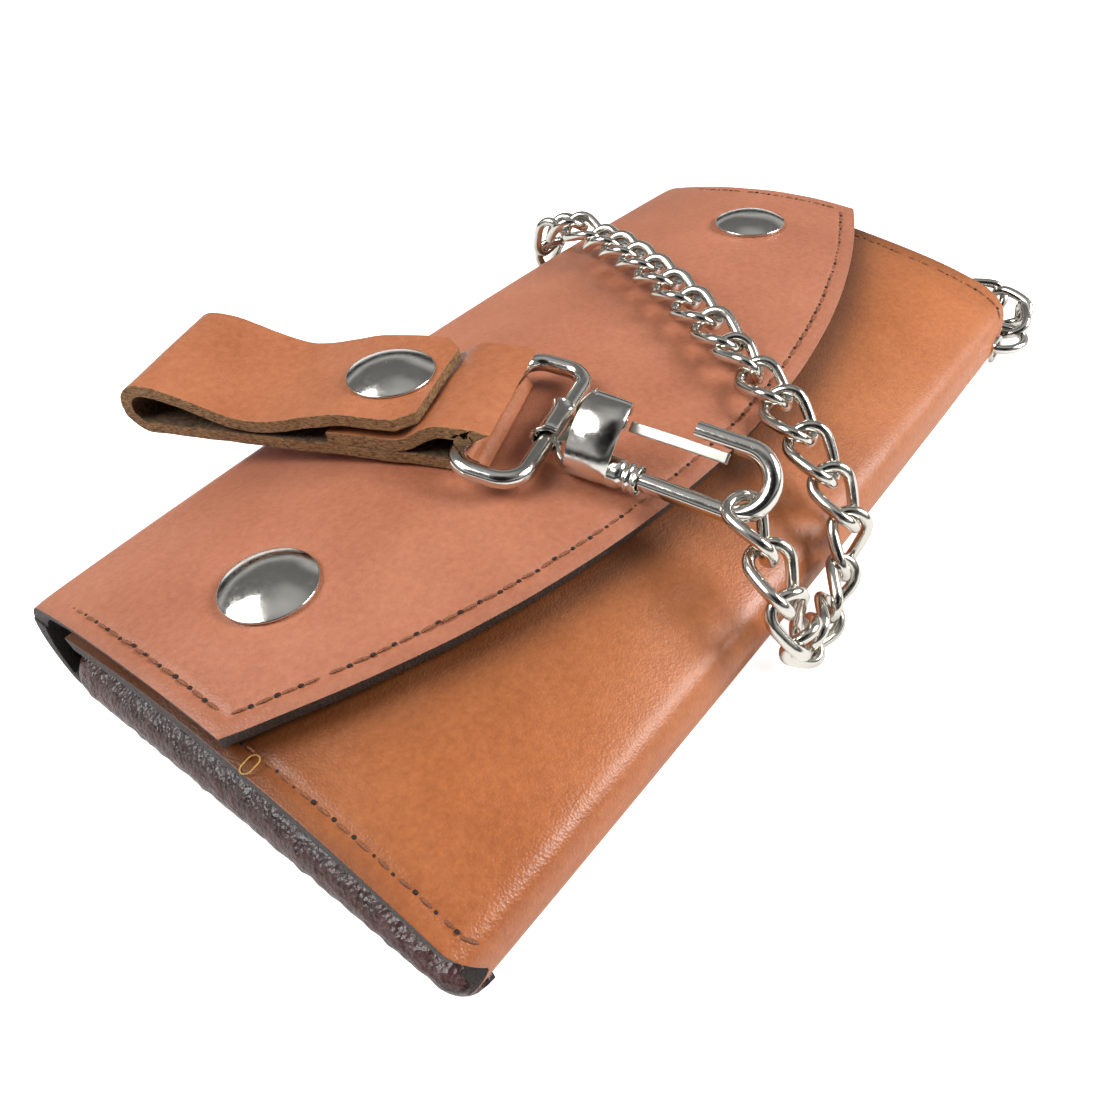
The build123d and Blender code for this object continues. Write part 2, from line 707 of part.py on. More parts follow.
with BuildPart() as strap_main:
    with BuildSketch(strap_plane.offset(-strap_width / 2)):
        with BuildLine() as wrap_path:
            FilletPolyline((return_end, return_middle), (return_start, return_middle),
                           (wrap_length, wrap_top), (wrap_centre, wrap_top), radius=2 * strap)
            ThreePointArc((wrap_centre, wrap_top), (wrap_centre - wrap_radius, main_middle + wrap_radius),
                          (wrap_centre, main_middle))
        trace(wrap_path.line, strap)
        with BuildLine() as layer_path:
            Line((wrap_centre - glued, main_middle), (fold_centre, main_middle))
            ThreePointArc((fold_centre, main_middle),
                          (fold_centre + fold_radius, main_middle + fold_radius),
                          (fold_centre, fold_top_middle))
        trace(layer_path.line, strap)
    extrude(amount=strap_width)
strap_main.part.label = "strap_main"

with BuildPart() as strap_leaf:
    with BuildSketch(strap_plane.offset(-strap_width / 2)):
        with BuildLine() as leaf_path:
            Spline((fold_centre, fold_top_middle), (leaf_low, leaf_lowest),
                   (belt_snap_u + strap, leaf_at_snap), (leaf_end, leaf_at_snap),
                   tangents=((-1, 0), (-1, 0)))
        trace(leaf_path.line, strap)
    extrude(amount=strap_width)
    with BuildSketch(Plane(origin=strap_origin, x_dir=strap_along, z_dir=(0, 0, 1))):
        with Locations((leaf_end, strap_width / 2), (leaf_end, -strap_width / 2)):
            Rectangle(leaf_chamfer * sqrt(2), leaf_chamfer * sqrt(2), rotation=45)
    extrude(amount=4 * fold_top_middle, mode=Mode.SUBTRACT)
strap_leaf.part.label = "strap_leaf"

# The belt snap stands on the strap like the flap snaps on the wallet.
belt_face = strap_origin + strap_along * belt_snap_u + Vector(0, 0, leaf_at_snap + strap / 2)
belt_plane = Plane(origin=belt_face, x_dir=strap_along, z_dir=(0, 0, 1))
belt_stud_seat = strap + snap_gap + snap_bed
belt_under = leaf_at_snap + strap / 2
snap_parts["belt_cap"] = make_cap(belt_plane, strap)
snap_parts["belt_socket"] = make_socket(belt_plane, strap - snap_bed, socket_height)
snap_parts["belt_stud"] = make_stud(belt_plane, belt_stud_seat, stud_head)
snap_parts["belt_post"] = make_post(belt_plane, belt_under - post_flange,
                                    belt_under - post_flange - belt_stud_seat + stud_base)

with BuildPart() as strap_leaf_bored:
    add(strap_leaf.part)
    with BuildSketch(belt_plane.offset(-snap_bed)):
        Circle(cap_diameter / 2)
    extrude(amount=strap, mode=Mode.SUBTRACT)
    with BuildSketch(belt_plane.offset(-strap - snap_gap / 2)):
        Circle(socket_diameter / 2)
    extrude(amount=snap_gap / 2 + snap_bed, mode=Mode.SUBTRACT)
    with BuildSketch(belt_plane.offset(-2 * strap)):
        Circle(rivet_diameter / 2)
    extrude(amount=4 * strap, mode=Mode.SUBTRACT)
strap_leaf_bored.part.label = "strap_leaf"

with BuildPart() as strap_main_bored:
    add(strap_main.part)
    with BuildSketch(belt_plane.offset(-belt_stud_seat)):
        Circle(stud_base_diameter / 2)
    extrude(amount=snap_gap, mode=Mode.SUBTRACT)
    with BuildSketch(belt_plane.offset(-belt_under - post_flange)):
        Circle(post_flange_diameter / 2)
    extrude(amount=2 * post_flange, mode=Mode.SUBTRACT)
    with BuildSketch(belt_plane.offset(-belt_under - strap)):
        Circle(rivet_diameter / 2)
    extrude(amount=4 * strap, mode=Mode.SUBTRACT)
strap_main_bored.part.label = "strap_main"

# ============================================================ chain
link_half = (link_length - wire) / 2          # middle of a link to the middle of its end wire
pitch_most = link_length - 2 * wire - link_slack
bow = (link_width - wire) / 2
chain_half = bow * sin(radians(link_roll)) + wire / 2
chain_side = bow * cos(radians(link_roll)) + wire / 2

with BuildPart() as link:
    with BuildLine() as link_path:
        FilletPolyline((0, -bow), (link_half, -bow), (link_half, bow), (0, bow), radius=bow * 0.999)
    with BuildSketch(Plane.YZ):
        with Locations((-bow, 0)):
            Circle(wire / 2)
    sweep(path=link_path.line)
    mirror(about=Plane.YZ)


def on_flap(x, y):
    """Where the middle of the chain runs when it lies on the flap over a point."""
    return (x, y, flap_top(x, y) + chain_half + 2 * chain_play)


back_y = spine_y + spine_belly + belly_growth + chain_half + chain_play
end_x = half_length + chain_half + 2 * chain_play
fold_y = -(fold_belly_y + belly_growth + chain_half + chain_play)
rest_z = chain_side + chain_play
meeting = link_half - pitch_most / 2          # middle of an end wire past the meeting point
hook_turn = radians(35)                       # where on the hook's bend the last link hangs
hook_seat = hook_point(rod_length + hook_gap / 2 * sin(hook_turn), hook_gap / 2 * (1 - cos(hook_turn)))
hook_tangent = hook_along * cos(hook_turn) + hook_across * sin(hook_turn)
hook_drop = Vector(-0.30, -0.75, -0.59).normalized()
chain_end = hook_seat - hook_drop * ((wire + hook_wire) / 2 + chain_play - meeting)
ring_lead = Vector(cos(radians(-12)), sin(radians(-12)), 0)
ring_middle = Vector(ring_x, ring_y, eyelet_z)
chain_start = ring_middle + ring_lead * (ring_radius - meeting + chain_play)

# From the corner ring round the far end and along the spine, up over the spine, across the flap,
# down over the fold in a hanging loop and up into the hook.
chain_route = [
    tuple(chain_start),
    (end_x + 3.6, -43.8, rest_z + 0.3),
    (end_x + 7.2, -36.5, rest_z),
    (end_x + 5.2, -26.5, rest_z),
    (end_x + 1.8, -14.0, rest_z),
    (end_x, 2.0, rest_z),
    (end_x, 22.0, rest_z),
    (end_x + 1.6, 37.0, rest_z),
    (end_x - 0.4, 49.5, rest_z),
    (84.4, back_y + 3.6, rest_z),
    (72.0, back_y + 0.8, rest_z),
    (63.0, back_y + 0.2, rest_z + 0.4),
    (55.2, back_y + 0.8, 7.6),
    (50.4, back_y - 0.1, 15.0),
    (47.4, back_y - 4.2, spine_z + crown + 1.6),
    (45.6, back_y - 10.4, spine_z + crown + 5.4),
    on_flap(43.6, 33.5),
    on_flap(40.6, 27.0),
    on_flap(37.5, 21.0),
    on_flap(31.0, 9.0),
    on_flap(24.5, -2.5),
    on_flap(18.5, -13.5),
    on_flap(13.5, -22.5),
    (9.4, -30.5, 25.8),
    (5.6, -38.0, 22.6),
    (2.6, -44.6, 18.2),
    (0.6, fold_y + 0.6, 13.2),
    (-3.0, fold_y - 0.4, 7.8),
    (-8.8, fold_y - 1.6, 4.9),
    (-15.6, fold_y - 2.6, 4.9),
    (-21.6, fold_y - 2.8, 8.4),
    (-24.6, fold_y - 2.2, 14.6),
    tuple(chain_end + hook_drop * link_length * 0.5),
    tuple(chain_end),
]
with BuildLine() as chain_line:
    Spline(*chain_route)
route = chain_line.line.edges()[0]
link_count = floor(route.length / pitch_most) + 1
core_x, core_y = 80.0, 34.0                   # half size of the wallet's core


def clamp(value, limit):
    """The value, kept within the limit on both sides."""
    return max(-limit, min(limit, value))


first_leans = (0, 72)        # the first link stands on edge in the ring, the next lies flat


def link_plane(number):
    """Plane of a link: X along the chain, Z leaning to alternate sides of the way out of the wallet."""
    start, end = (route.position_at((number + k) / link_count) for k in (0, 1))
    along = (end - start).normalized()
    middle = (start + end) / 2
    lean = link_roll if (link_count - number) % 2 else -link_roll
    outward = middle - Vector(clamp(middle.X, core_x), clamp(middle.Y, core_y), rest_z)
    if number < len(first_leans):
        lean = first_leans[number]
    elif number == link_count - 1:
        outward, lean = hook_tangent, 0
    outward = (outward - along * outward.dot(along)).normalized()
    return Plane(origin=middle, x_dir=along, z_dir=outward.rotate(Axis((0, 0, 0), along), lean))


chain_planes = [link_plane(number) for number in range(link_count)]
tail_count = sum(1 for plane in chain_planes if plane.origin.X > 55
                 or plane.origin.Y > 40 and plane.origin.Z < 17)
lead_cut = (tail_count + link_count) // 2
groups = {
    "tail_end_links": (0, tail_count // 2),
    "tail_spine_links": (tail_count // 2, tail_count),
    "lead_flap_links": (tail_count, lead_cut),
    "lead_hanging_links": (lead_cut, link_count),
}
chain_parts = {}
for name, (first, last) in groups.items():
    with BuildPart() as links:
        for plane in chain_planes[first:last]:
            with Locations(plane.location):
                add(link.part)
    chain_parts[name] = links.part

# ============================================================ files
finished = [
    cover_leather.part, cover_lining.part, pocket_board.part, *card_pockets, bill_divider.part,
    *gussets.values(), flap_leather.part, flap_lining.part, corner_eyelet.part, corner_ring.part,
    hook.part, gate.part, clip_body.part, wire_loop.part, strap_main_bored.part,
    strap_leaf_bored.part,
]
for name, piece in {**snap_parts, **chain_parts}.items():
    piece.label = name
    finished.append(piece)
for piece in finished:
    export_step(piece, f"parts/{piece.label}.step")
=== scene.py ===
import bmesh
import bpy
import numpy as np
from mathutils import Matrix, Vector


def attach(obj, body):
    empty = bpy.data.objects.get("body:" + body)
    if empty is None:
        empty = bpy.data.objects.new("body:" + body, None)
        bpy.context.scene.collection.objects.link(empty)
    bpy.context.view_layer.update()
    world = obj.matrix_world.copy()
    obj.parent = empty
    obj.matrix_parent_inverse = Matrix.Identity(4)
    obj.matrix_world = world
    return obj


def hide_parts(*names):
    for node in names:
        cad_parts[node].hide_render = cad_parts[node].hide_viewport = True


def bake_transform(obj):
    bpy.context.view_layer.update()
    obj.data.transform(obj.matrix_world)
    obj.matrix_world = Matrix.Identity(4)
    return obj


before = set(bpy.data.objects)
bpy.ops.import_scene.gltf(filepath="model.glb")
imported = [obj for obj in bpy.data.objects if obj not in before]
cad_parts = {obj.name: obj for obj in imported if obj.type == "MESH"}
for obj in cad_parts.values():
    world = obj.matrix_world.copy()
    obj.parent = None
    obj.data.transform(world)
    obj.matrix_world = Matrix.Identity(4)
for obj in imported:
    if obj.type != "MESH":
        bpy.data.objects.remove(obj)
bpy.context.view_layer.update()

# The wallet's own sizes in millimetres: X along the wallet, Y from the fold to the spine, Z up.
MM = 0.001
HALF = 89.0                 # half the length
CROWN = 2.2                 # rise of the top at mid length
LEATHER = 1.8
LINING = 1.0
NEAR_CORNER = 3.5           # corner radius of the fold at the near end
FAR_CORNER = 9.0            # and at the far end
SEAM_INSET = 3.0            # stitch line behind an edge
STITCH = 3.3                # from one needle hole to the next
CAP_X, CAP_Y = 68.0, 8.6    # the flap's two snap caps, one each side of mid length

# Points of the section as (Y, Z) at the wallet's ends. Those on top rise by the crown towards mid length.
CREASE = (42.3, 19.5)       # where the flap rolls over to the spine
SPINE = (47.9, 6.0)         # the spine's outermost point
BACK_SPINE = (45.0, 0.0)    # where the flat back meets the spine
BACK_FOLD = (-42.5, 0.0)    # and where it meets the fold
FOLD = (-45.6, 5.0)         # the fold's outermost point
FOLD_TOP = (-44.2, 10.8)
PANEL_MID = (-14.0, 18.3)
PANEL_EDGE = (36.0, 16.6)   # the front panel's edge, under the flap
FLAP_MID = (9.0, 24.4)
FLAP_FRONT = (-30.0, 20.2)
EDGE_TIP = -28.3            # Y of the flap's free edge at mid length
EDGE_BOW = 22.3             # and how far behind it the edge's two ends lie
SPINE_ROWS = 60             # rows of points round the spine's arc
SPINE_MEET = 18             # the row from which the flap's hide goes up and the cover's down


# ------------------------------------------------------------------ camera, light, floor
CAMERA_TURN = (-47.38, 42.57, -6.25)            # azimuth, elevation and roll in degrees
CAMERA_PLACE = (-0.1139, -0.0888, 0.1177)       # in metres, as are the lamps' and the floor's places
SENSOR = 36                                     # width of the frame in millimetres
LENS = SENSOR * 950.3 / 1102                    # focal length, as a share of that width
WALLET_MIDDLE = (0, 0, 0.01)
LAMP_WATTS = 10.0
ROOM_STRENGTH = 0.62
# Greys of the room from straight down to straight up, as (share of the way, grey).
ROOM_BANDS = ((0.0, 0.55), (0.49, 0.60), (0.52, 0.05), (0.60, 0.07),
              (0.68, 0.90), (0.76, 0.25), (0.90, 0.30), (1.0, 0.9))
DARK_SIDE = (-0.55, -0.45, 0.70)                # the way to a dark patch that the metal shows
FLOOR_HALF = 3                                  # half the floor's side
FLOOR_Z = -2e-5
FLOOR_GLOW = 0.76


def place_camera():
    """Camera from its azimuth, elevation and roll: back = (sin az cos el, -cos az cos el, sin el)."""
    az, el, roll = np.radians(CAMERA_TURN)
    back = Vector((np.sin(az) * np.cos(el), -np.cos(az) * np.cos(el), np.sin(el)))
    level = Vector((np.cos(az), np.sin(az), 0))
    rise = back.cross(level)
    right = level * np.cos(roll) + rise * np.sin(roll)
    up = rise * np.cos(roll) - level * np.sin(roll)
    camera = bpy.data.objects.new("camera", bpy.data.cameras.new("camera"))
    camera.data.sensor_width = SENSOR
    camera.data.lens = LENS
    camera.data.clip_start = 0.005
    turn = Matrix((right, up, back)).transposed().to_4x4()
    camera.matrix_world = Matrix.Translation(CAMERA_PLACE) @ turn
    bpy.context.scene.collection.objects.link(camera)
    bpy.context.scene.camera = camera


def softbox(name, place, size):
    """Square area lamp that looks from its place at the wallet's middle."""
    lamp = bpy.data.lights.new(name, "AREA")
    lamp.size = size
    lamp.energy = LAMP_WATTS
    obj = bpy.data.objects.new(name, lamp)
    way = Vector(WALLET_MIDDLE) - Vector(place)
    obj.matrix_world = Matrix.Translation(place) @ way.to_track_quat("-Z", "Y").to_matrix().to_4x4()
    bpy.context.scene.collection.objects.link(obj)


def new_tree(owner):
    """Empty node tree of a material or world, as (add a node, join two sockets).

    A node's values are given by the names of its inputs or settings, and by number where inputs share a name.
    """
    owner.use_nodes = True
    tree = owner.node_tree
    tree.nodes.clear()

    def node(kind, numbered=None, **values):
        n = tree.nodes.new(kind)
        for key, value in values.items():
            if key in n.inputs:
                n.inputs[key].default_value = value
            else:
                setattr(n, key, value)
        for number, value in (numbered or {}).items():
            n.inputs[number].default_value = value
        return n

    return node, tree.links.new


def tone_ramp(node, stops):
    """Colour ramp through its stops, each a position and a colour."""
    ramp = node("ShaderNodeValToRGB")
    elements = ramp.color_ramp.elements
    for element, (position, colour) in zip(elements, (stops[0], stops[-1])):
        element.position, element.color = position, (*colour, 1)
    for position, colour in stops[1:-1]:
        elements.new(position).color = (*colour, 1)
    return ramp


def colour_product(node, join, one, other):
    """Output of one colour times another: a Mix node's inputs 6 and 7 and its output 2 are its colours."""
    mix = node("ShaderNodeMix", {0: 1.0}, data_type="RGBA", blend_type="MULTIPLY")
    join(one, mix.inputs[6])
    join(other, mix.inputs[7])
    return mix.outputs[2]


def room_light():
    """World of level grey bands: the ramp is read at half the way's Z plus 0.4, plus a fifth of a slow noise.

    It is darkened where the way's dot product with the dark side is large, and it is white to the eye.
    """
    world = bpy.data.worlds.new("room")
    bpy.context.scene.world = world
    node, join = new_tree(world)
    way = node("ShaderNodeTexCoord").outputs["Generated"]
    split = node("ShaderNodeSeparateXYZ")
    half = node("ShaderNodeMath", {1: 0.5, 2: 0.40}, operation="MULTIPLY_ADD")
    patches = node("ShaderNodeTexNoise", Scale=1.7, Detail=1.0)
    both = node("ShaderNodeMath", {1: 0.2}, operation="MULTIPLY_ADD")
    ramp = tone_ramp(node, [(position, (grey, grey, grey)) for position, grey in ROOM_BANDS])
    toward = node("ShaderNodeVectorMath", {1: DARK_SIDE}, operation="DOT_PRODUCT")
    dark = node("ShaderNodeMapRange", **{"From Min": 0.80, "From Max": 0.93, "To Min": 1.0, "To Max": 0.06})
    lit = node("ShaderNodeBackground", Strength=ROOM_STRENGTH)
    seen = node("ShaderNodeBackground", Color=(1, 1, 1, 1), Strength=1.0)
    ray = node("ShaderNodeLightPath")
    mix = node("ShaderNodeMixShader")
    out = node("ShaderNodeOutputWorld")
    join(way, split.inputs[0])
    join(split.outputs["Z"], half.inputs[0])
    join(way, patches.inputs["Vector"])
    join(patches.outputs["Fac"], both.inputs[0])
    join(half.outputs[0], both.inputs[2])
    join(both.outputs[0], ramp.inputs[0])
    join(way, toward.inputs[0])
    join(toward.outputs["Value"], dark.inputs["Value"])
    join(colour_product(node, join, ramp.outputs[0], dark.outputs[0]), lit.inputs["Color"])
    join(ray.outputs["Is Camera Ray"], mix.inputs[0])
    join(lit.outputs[0], mix.inputs[1])
    join(seen.outputs[0], mix.inputs[2])
    join(mix.outputs[0], out.inputs[0])


def floor_sheet():
    """White floor, a large square just under the wallet, with a glow that only the eye sees."""
    mesh = bpy.data.meshes.new("floor")
    corners = [(x * FLOOR_HALF, y * FLOOR_HALF, FLOOR_Z) for x, y in ((-1, -1), (1, -1), (1, 1), (-1, 1))]
    mesh.from_pydata(corners, [], [(0, 1, 2, 3)])
    floor = bpy.data.objects.new("floor", mesh)
    bpy.context.scene.collection.objects.link(floor)
    white = bpy.data.materials.new("white_floor")
    node, join = new_tree(white)
    skin = node("ShaderNodeBsdfDiffuse", Color=(0.93, 0.93, 0.93, 1))
    glow = node("ShaderNodeEmission", Color=(1, 1, 1, 1), Strength=FLOOR_GLOW)
    ray = node("ShaderNodeLightPath")
    mix = node("ShaderNodeMixShader")
    both = node("ShaderNodeAddShader")
    out = node("ShaderNodeOutputMaterial")
    join(skin.outputs[0], both.inputs[0])
    join(glow.outputs[0], both.inputs[1])
    join(ray.outputs["Is Camera Ray"], mix.inputs[0])
    join(skin.outputs[0], mix.inputs[1])
    join(both.outputs[0], mix.inputs[2])
    join(mix.outputs[0], out.inputs[0])
    mesh.materials.append(white)


place_camera()
bpy.context.scene.view_settings.view_transform = "Standard"
room_light()
floor_sheet()
softbox("window", (0.50, -0.62, 0.54), 0.46)
softbox("fill", (-0.50, 0.45, 0.80), 0.6)


# ------------------------------------------------------------------ materials
def leather_skin(name, deep, pale, rough, grain=2600.0, bump=0.10, coat=0.0, blotch=38.0, reads_darkening=False):
    """Smooth hide: slow blotches and a fine noise, added, run between two browns.

    Pores and the fine noise, added, dent it. The slow noise varies the gloss, and a hide that reads the darkening
    kept at
    each point is multiplied by it: painted shade on the panel and the gussets, a darker band along the flap's
    edges.
    """
    m = bpy.data.materials.new(name)
    node, join = new_tree(m)
    place = node("ShaderNodeTexCoord")
    slow = node("ShaderNodeTexNoise", Scale=blotch, Detail=5.0, Roughness=0.55)
    fine = node("ShaderNodeTexNoise", Scale=grain * 0.35, Detail=4.0, Roughness=0.7)
    pores = node("ShaderNodeTexVoronoi", Scale=grain, Randomness=1.0)
    part = node("ShaderNodeMath", {1: 0.50}, operation="MULTIPLY")
    total = node("ShaderNodeMath", {1: 0.54}, operation="MULTIPLY_ADD")
    tone = tone_ramp(node, [(0.28, deep), (0.76, pale)])
    gloss = node("ShaderNodeMapRange",
                 **{"From Min": 0.3, "From Max": 0.7, "To Min": rough - 0.07, "To Max": rough + 0.09})
    height = node("ShaderNodeMath", {1: 0.6}, operation="MULTIPLY_ADD")
    dents = node("ShaderNodeBump", Strength=bump, Distance=0.0004)
    skin = node("ShaderNodeBsdfPrincipled",
                **{"Coat Weight": coat, "Coat Roughness": 0.32, "Specular IOR Level": 0.5})
    out = node("ShaderNodeOutputMaterial")
    for texture in (slow, fine, pores):
        join(place.outputs["Object"], texture.inputs["Vector"])
    join(fine.outputs["Fac"], part.inputs[0])
    join(slow.outputs["Fac"], total.inputs[0])
    join(part.outputs[0], total.inputs[2])
    join(total.outputs[0], tone.inputs[0])
    join(slow.outputs["Fac"], gloss.inputs["Value"])
    join(pores.outputs["Distance"], height.inputs[0])
    join(fine.outputs["Fac"], height.inputs[2])
    join(height.outputs[0], dents.inputs["Height"])
    colour = tone.outputs[0]
    # Painted shade: the colour is multiplied by the darkening kept at each point of the piece.
    if reads_darkening:
        shade = node("ShaderNodeAttribute", attribute_name="darkening")
        colour = colour_product(node, join, colour, shade.outputs["Color"])
    join(colour, skin.inputs["Base Color"])
    join(gloss.outputs[0], skin.inputs["Roughness"])
    join(dents.outputs[0], skin.inputs["Normal"])
    join(skin.outputs[0], out.inputs[0])
    return m


def raw_edge(name, deep, pale):
    """Cut leather edge: fibres as noise stretched along the layers, rough and dry."""
    m = bpy.data.materials.new(name)
    node, join = new_tree(m)
    place = node("ShaderNodeTexCoord")
    spread = node("ShaderNodeMapping", Scale=(1, 1, 3.2))
    fibres = node("ShaderNodeTexNoise", Scale=1100.0, Detail=6.0, Roughness=0.75)
    tone = tone_ramp(node, [(0.35, deep), (0.66, pale)])
    dents = node("ShaderNodeBump", Strength=0.7, Distance=0.0005)
    skin = node("ShaderNodeBsdfPrincipled", Roughness=0.85)
    out = node("ShaderNodeOutputMaterial")
    join(place.outputs["Object"], spread.inputs["Vector"])
    join(spread.outputs[0], fibres.inputs["Vector"])
    join(fibres.outputs["Fac"], tone.inputs[0])
    join(fibres.outputs["Fac"], dents.inputs["Height"])
    join(tone.outputs[0], skin.inputs["Base Color"])
    join(dents.outputs[0], skin.inputs["Normal"])
    join(skin.outputs[0], out.inputs[0])
    return m


def bright_metal(name, tint, rough, scratch=0.03):
    """Nickel plate: clear reflections, softly wavy by one noise, and duller in patches by a finer one."""
    m = bpy.data.materials.new(name)
    node, join = new_tree(m)
    place = node("ShaderNodeTexCoord")
    haze = node("ShaderNodeTexNoise", Scale=900.0, Detail=4.0, Roughness=0.6)
    waves = node("ShaderNodeTexNoise", Scale=315.0, Detail=2.0)
    gloss = node("ShaderNodeMapRange",
                 **{"From Min": 0.35, "From Max": 0.7, "To Min": rough, "To Max": rough + 0.12})
    dents = node("ShaderNodeBump", Strength=scratch, Distance=0.0006)
    skin = node("ShaderNodeBsdfPrincipled", **{"Base Color": (*tint, 1), "Metallic": 1.0})
    out = node("ShaderNodeOutputMaterial")
    join(place.outputs["Object"], haze.inputs["Vector"])
    join(place.outputs["Object"], waves.inputs["Vector"])
    join(haze.outputs["Fac"], gloss.inputs["Value"])
    join(waves.outputs["Fac"], dents.inputs["Height"])
    join(gloss.outputs[0], skin.inputs["Roughness"])
    join(dents.outputs[0], skin.inputs["Normal"])
    join(skin.outputs[0], out.inputs[0])
    return m


panel_hide = leather_skin("panel_hide", (0.300, 0.075, 0.015), (0.570, 0.185, 0.052), 0.40,
                          bump=0.22, coat=0.15, reads_darkening=True)
flap_hide = leather_skin("flap_hide", (0.320, 0.100, 0.046), (0.520, 0.200, 0.110), 0.46,
                         bump=0.2, coat=0.06, reads_darkening=True)
strap_hide = leather_skin("strap_hide", (0.300, 0.088, 0.030), (0.540, 0.195, 0.085), 0.42,
                          grain=2200.0, bump=0.3, coat=0.1)
black_hide = leather_skin("black_hide", (0.006, 0.005, 0.005), (0.022, 0.019, 0.017), 0.48, bump=0.3)
gusset_hide = leather_skin("gusset_hide", (0.016, 0.005, 0.004), (0.150, 0.068, 0.060), 0.27,
                           grain=1300.0, bump=0.85, coat=0.12, blotch=420.0, reads_darkening=True)
edge_paint = leather_skin("edge_paint", (0.012, 0.008, 0.007), (0.055, 0.036, 0.028), 0.60,
                          bump=0.8, blotch=300.0)
strap_edge = raw_edge("strap_edge", (0.050, 0.022, 0.010), (0.520, 0.290, 0.125))
strap_back = raw_edge("strap_back", (0.030, 0.016, 0.009), (0.210, 0.120, 0.062))
thread = leather_skin("thread", (0.17, 0.060, 0.024), (0.34, 0.125, 0.055), 0.7, grain=5000.0, bump=0.6)
loop_thread = leather_skin("loop_thread", (0.40, 0.21, 0.05), (0.58, 0.34, 0.10), 0.6,
                           grain=5000.0, bump=0.5)
# Near black: painted shade for the hollow of a needle hole.
needle_hole_shade = leather_skin("needle_hole_shade", (0.012, 0.006, 0.004), (0.03, 0.014, 0.008), 0.8)
nickel = bright_metal("nickel", (0.70, 0.68, 0.63), 0.10)
chain_nickel = bright_metal("chain_nickel", (0.66, 0.63, 0.57), 0.12, scratch=0.05)
spring_steel = bright_metal("spring_steel", (0.60, 0.58, 0.52), 0.34, scratch=0.04)


# ------------------------------------------------------------------ meshes
def grid_piece(name, points, body, skins, flip=False, wall=0.0, offset=-1.0, bevel=0.0, wrap=False, darkening=None):
    """Piece from a grid of points in millimetres: neighbours joined in quads, walled and edged by modifiers.

    A wrapped grid's last row is joined to its first. The skins are those of the face, the back and the rim, and
    the darkening given at each point is kept as a colour attribute: painted shade on the panel and the gussets.
    """
    rows, columns = points.shape[:2]
    index = np.arange(rows * columns).reshape(rows, columns)
    if wrap:
        index = np.concatenate([index, index[:1]])
    quads = np.stack([index[:-1, :-1], index[:-1, 1:], index[1:, 1:], index[1:, :-1]], -1).reshape(-1, 4)
    if flip:
        quads = quads[:, ::-1]
    mesh = bpy.data.meshes.new(name)
    mesh.from_pydata((points.reshape(-1, 3) * MM).tolist(), [], quads.tolist())
    for skin in skins:
        mesh.materials.append(skin)
    mesh.polygons.foreach_set("use_smooth", np.ones(len(mesh.polygons), bool))
    # The darkening kept per point holds painted shade on the panel and gussets, and the flap's darker edges.
    if darkening is not None:
        shade = np.concatenate([np.repeat(darkening.reshape(-1, 1), 3, 1), np.ones((darkening.size, 1))], 1)
        mesh.color_attributes.new("darkening", "FLOAT_COLOR", "POINT").data.foreach_set("color", shade.ravel())
    if wrap:
        merged = bmesh.new()
        merged.from_mesh(mesh)
        bmesh.ops.remove_doubles(merged, verts=merged.verts, dist=1e-6)
        bmesh.ops.recalc_face_normals(merged, faces=merged.faces)
        merged.to_mesh(mesh)
        merged.free()
    mesh.update()
    obj = bpy.data.objects.new(name, mesh)
    bpy.context.scene.collection.objects.link(obj)
    if wall:
        shell = obj.modifiers.new("wall", "SOLIDIFY")
        shell.thickness = wall * MM
        shell.offset = offset
        shell.use_even_offset = True
        shell.material_offset = 1 if len(skins) > 1 else 0
        shell.material_offset_rim = 2 if len(skins) > 2 else 0
    if bevel:
        round_off = obj.modifiers.new("worn_edge", "BEVEL")
        round_off.width = bevel * MM
        round_off.segments = 3
        round_off.limit_method = "ANGLE"
        round_off.angle_limit = np.radians(50)
        round_off.harden_normals = True
    if body:
        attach(obj, body)
    return obj


def many_pieces(name, shape, faces, places, body, skin):
    """One small shape, repeated: every copy is the shape's points times a frame, plus its middle, in one array."""
    points = np.einsum("vk,mkc->mvc", shape, places[:, 1:]) + places[:, :1]
    quads = faces[None] + (np.arange(len(places)) * len(shape))[:, None, None]
    mesh = bpy.data.meshes.new(name)
    mesh.from_pydata((points.reshape(-1, 3) * MM).tolist(), [], quads.reshape(-1, faces.shape[1]).tolist())
    mesh.materials.append(skin)
    mesh.polygons.foreach_set("use_smooth", np.ones(len(mesh.polygons), bool))
    obj = bpy.data.objects.new(name, mesh)
    bpy.context.scene.collection.objects.link(obj)
    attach(obj, body)
    return obj


def torus_faces(rows, columns):
    """Quads of a grid that closes on itself both ways."""
    index = np.arange(rows * columns).reshape(rows, columns)
    after, beside = np.roll(index, -1, axis=0), np.roll(index, -1, axis=1)
    return np.stack([index, after, np.roll(after, -1, axis=1), beside], -1).reshape(-1, 4)


def ripple(x, y, size, seed):
    """Slow unevenness between -1 and 1: eight sine waves of fixed random heading and phase, added and scaled."""
    rng = np.random.default_rng(seed)
    heading = rng.uniform(0, 2 * np.pi, 8)
    phase = rng.uniform(0, 2 * np.pi, 8)
    stretch = rng.uniform(0.6, 1.7, 8)
    waves = [np.sin((x * np.cos(h) + y * np.sin(h)) * s * 2 * np.pi / size + p)
             for h, p, s in zip(heading, phase, stretch)]
    return sum(waves) / 4.5


def bulge(x):
    """Share of the crown left at x: one less the square of x over the half length."""
    return 1 - (x / HALF) ** 2


def raised(point, rise):
    """A point of the section, moved up."""
    return point[0], point[1] + rise


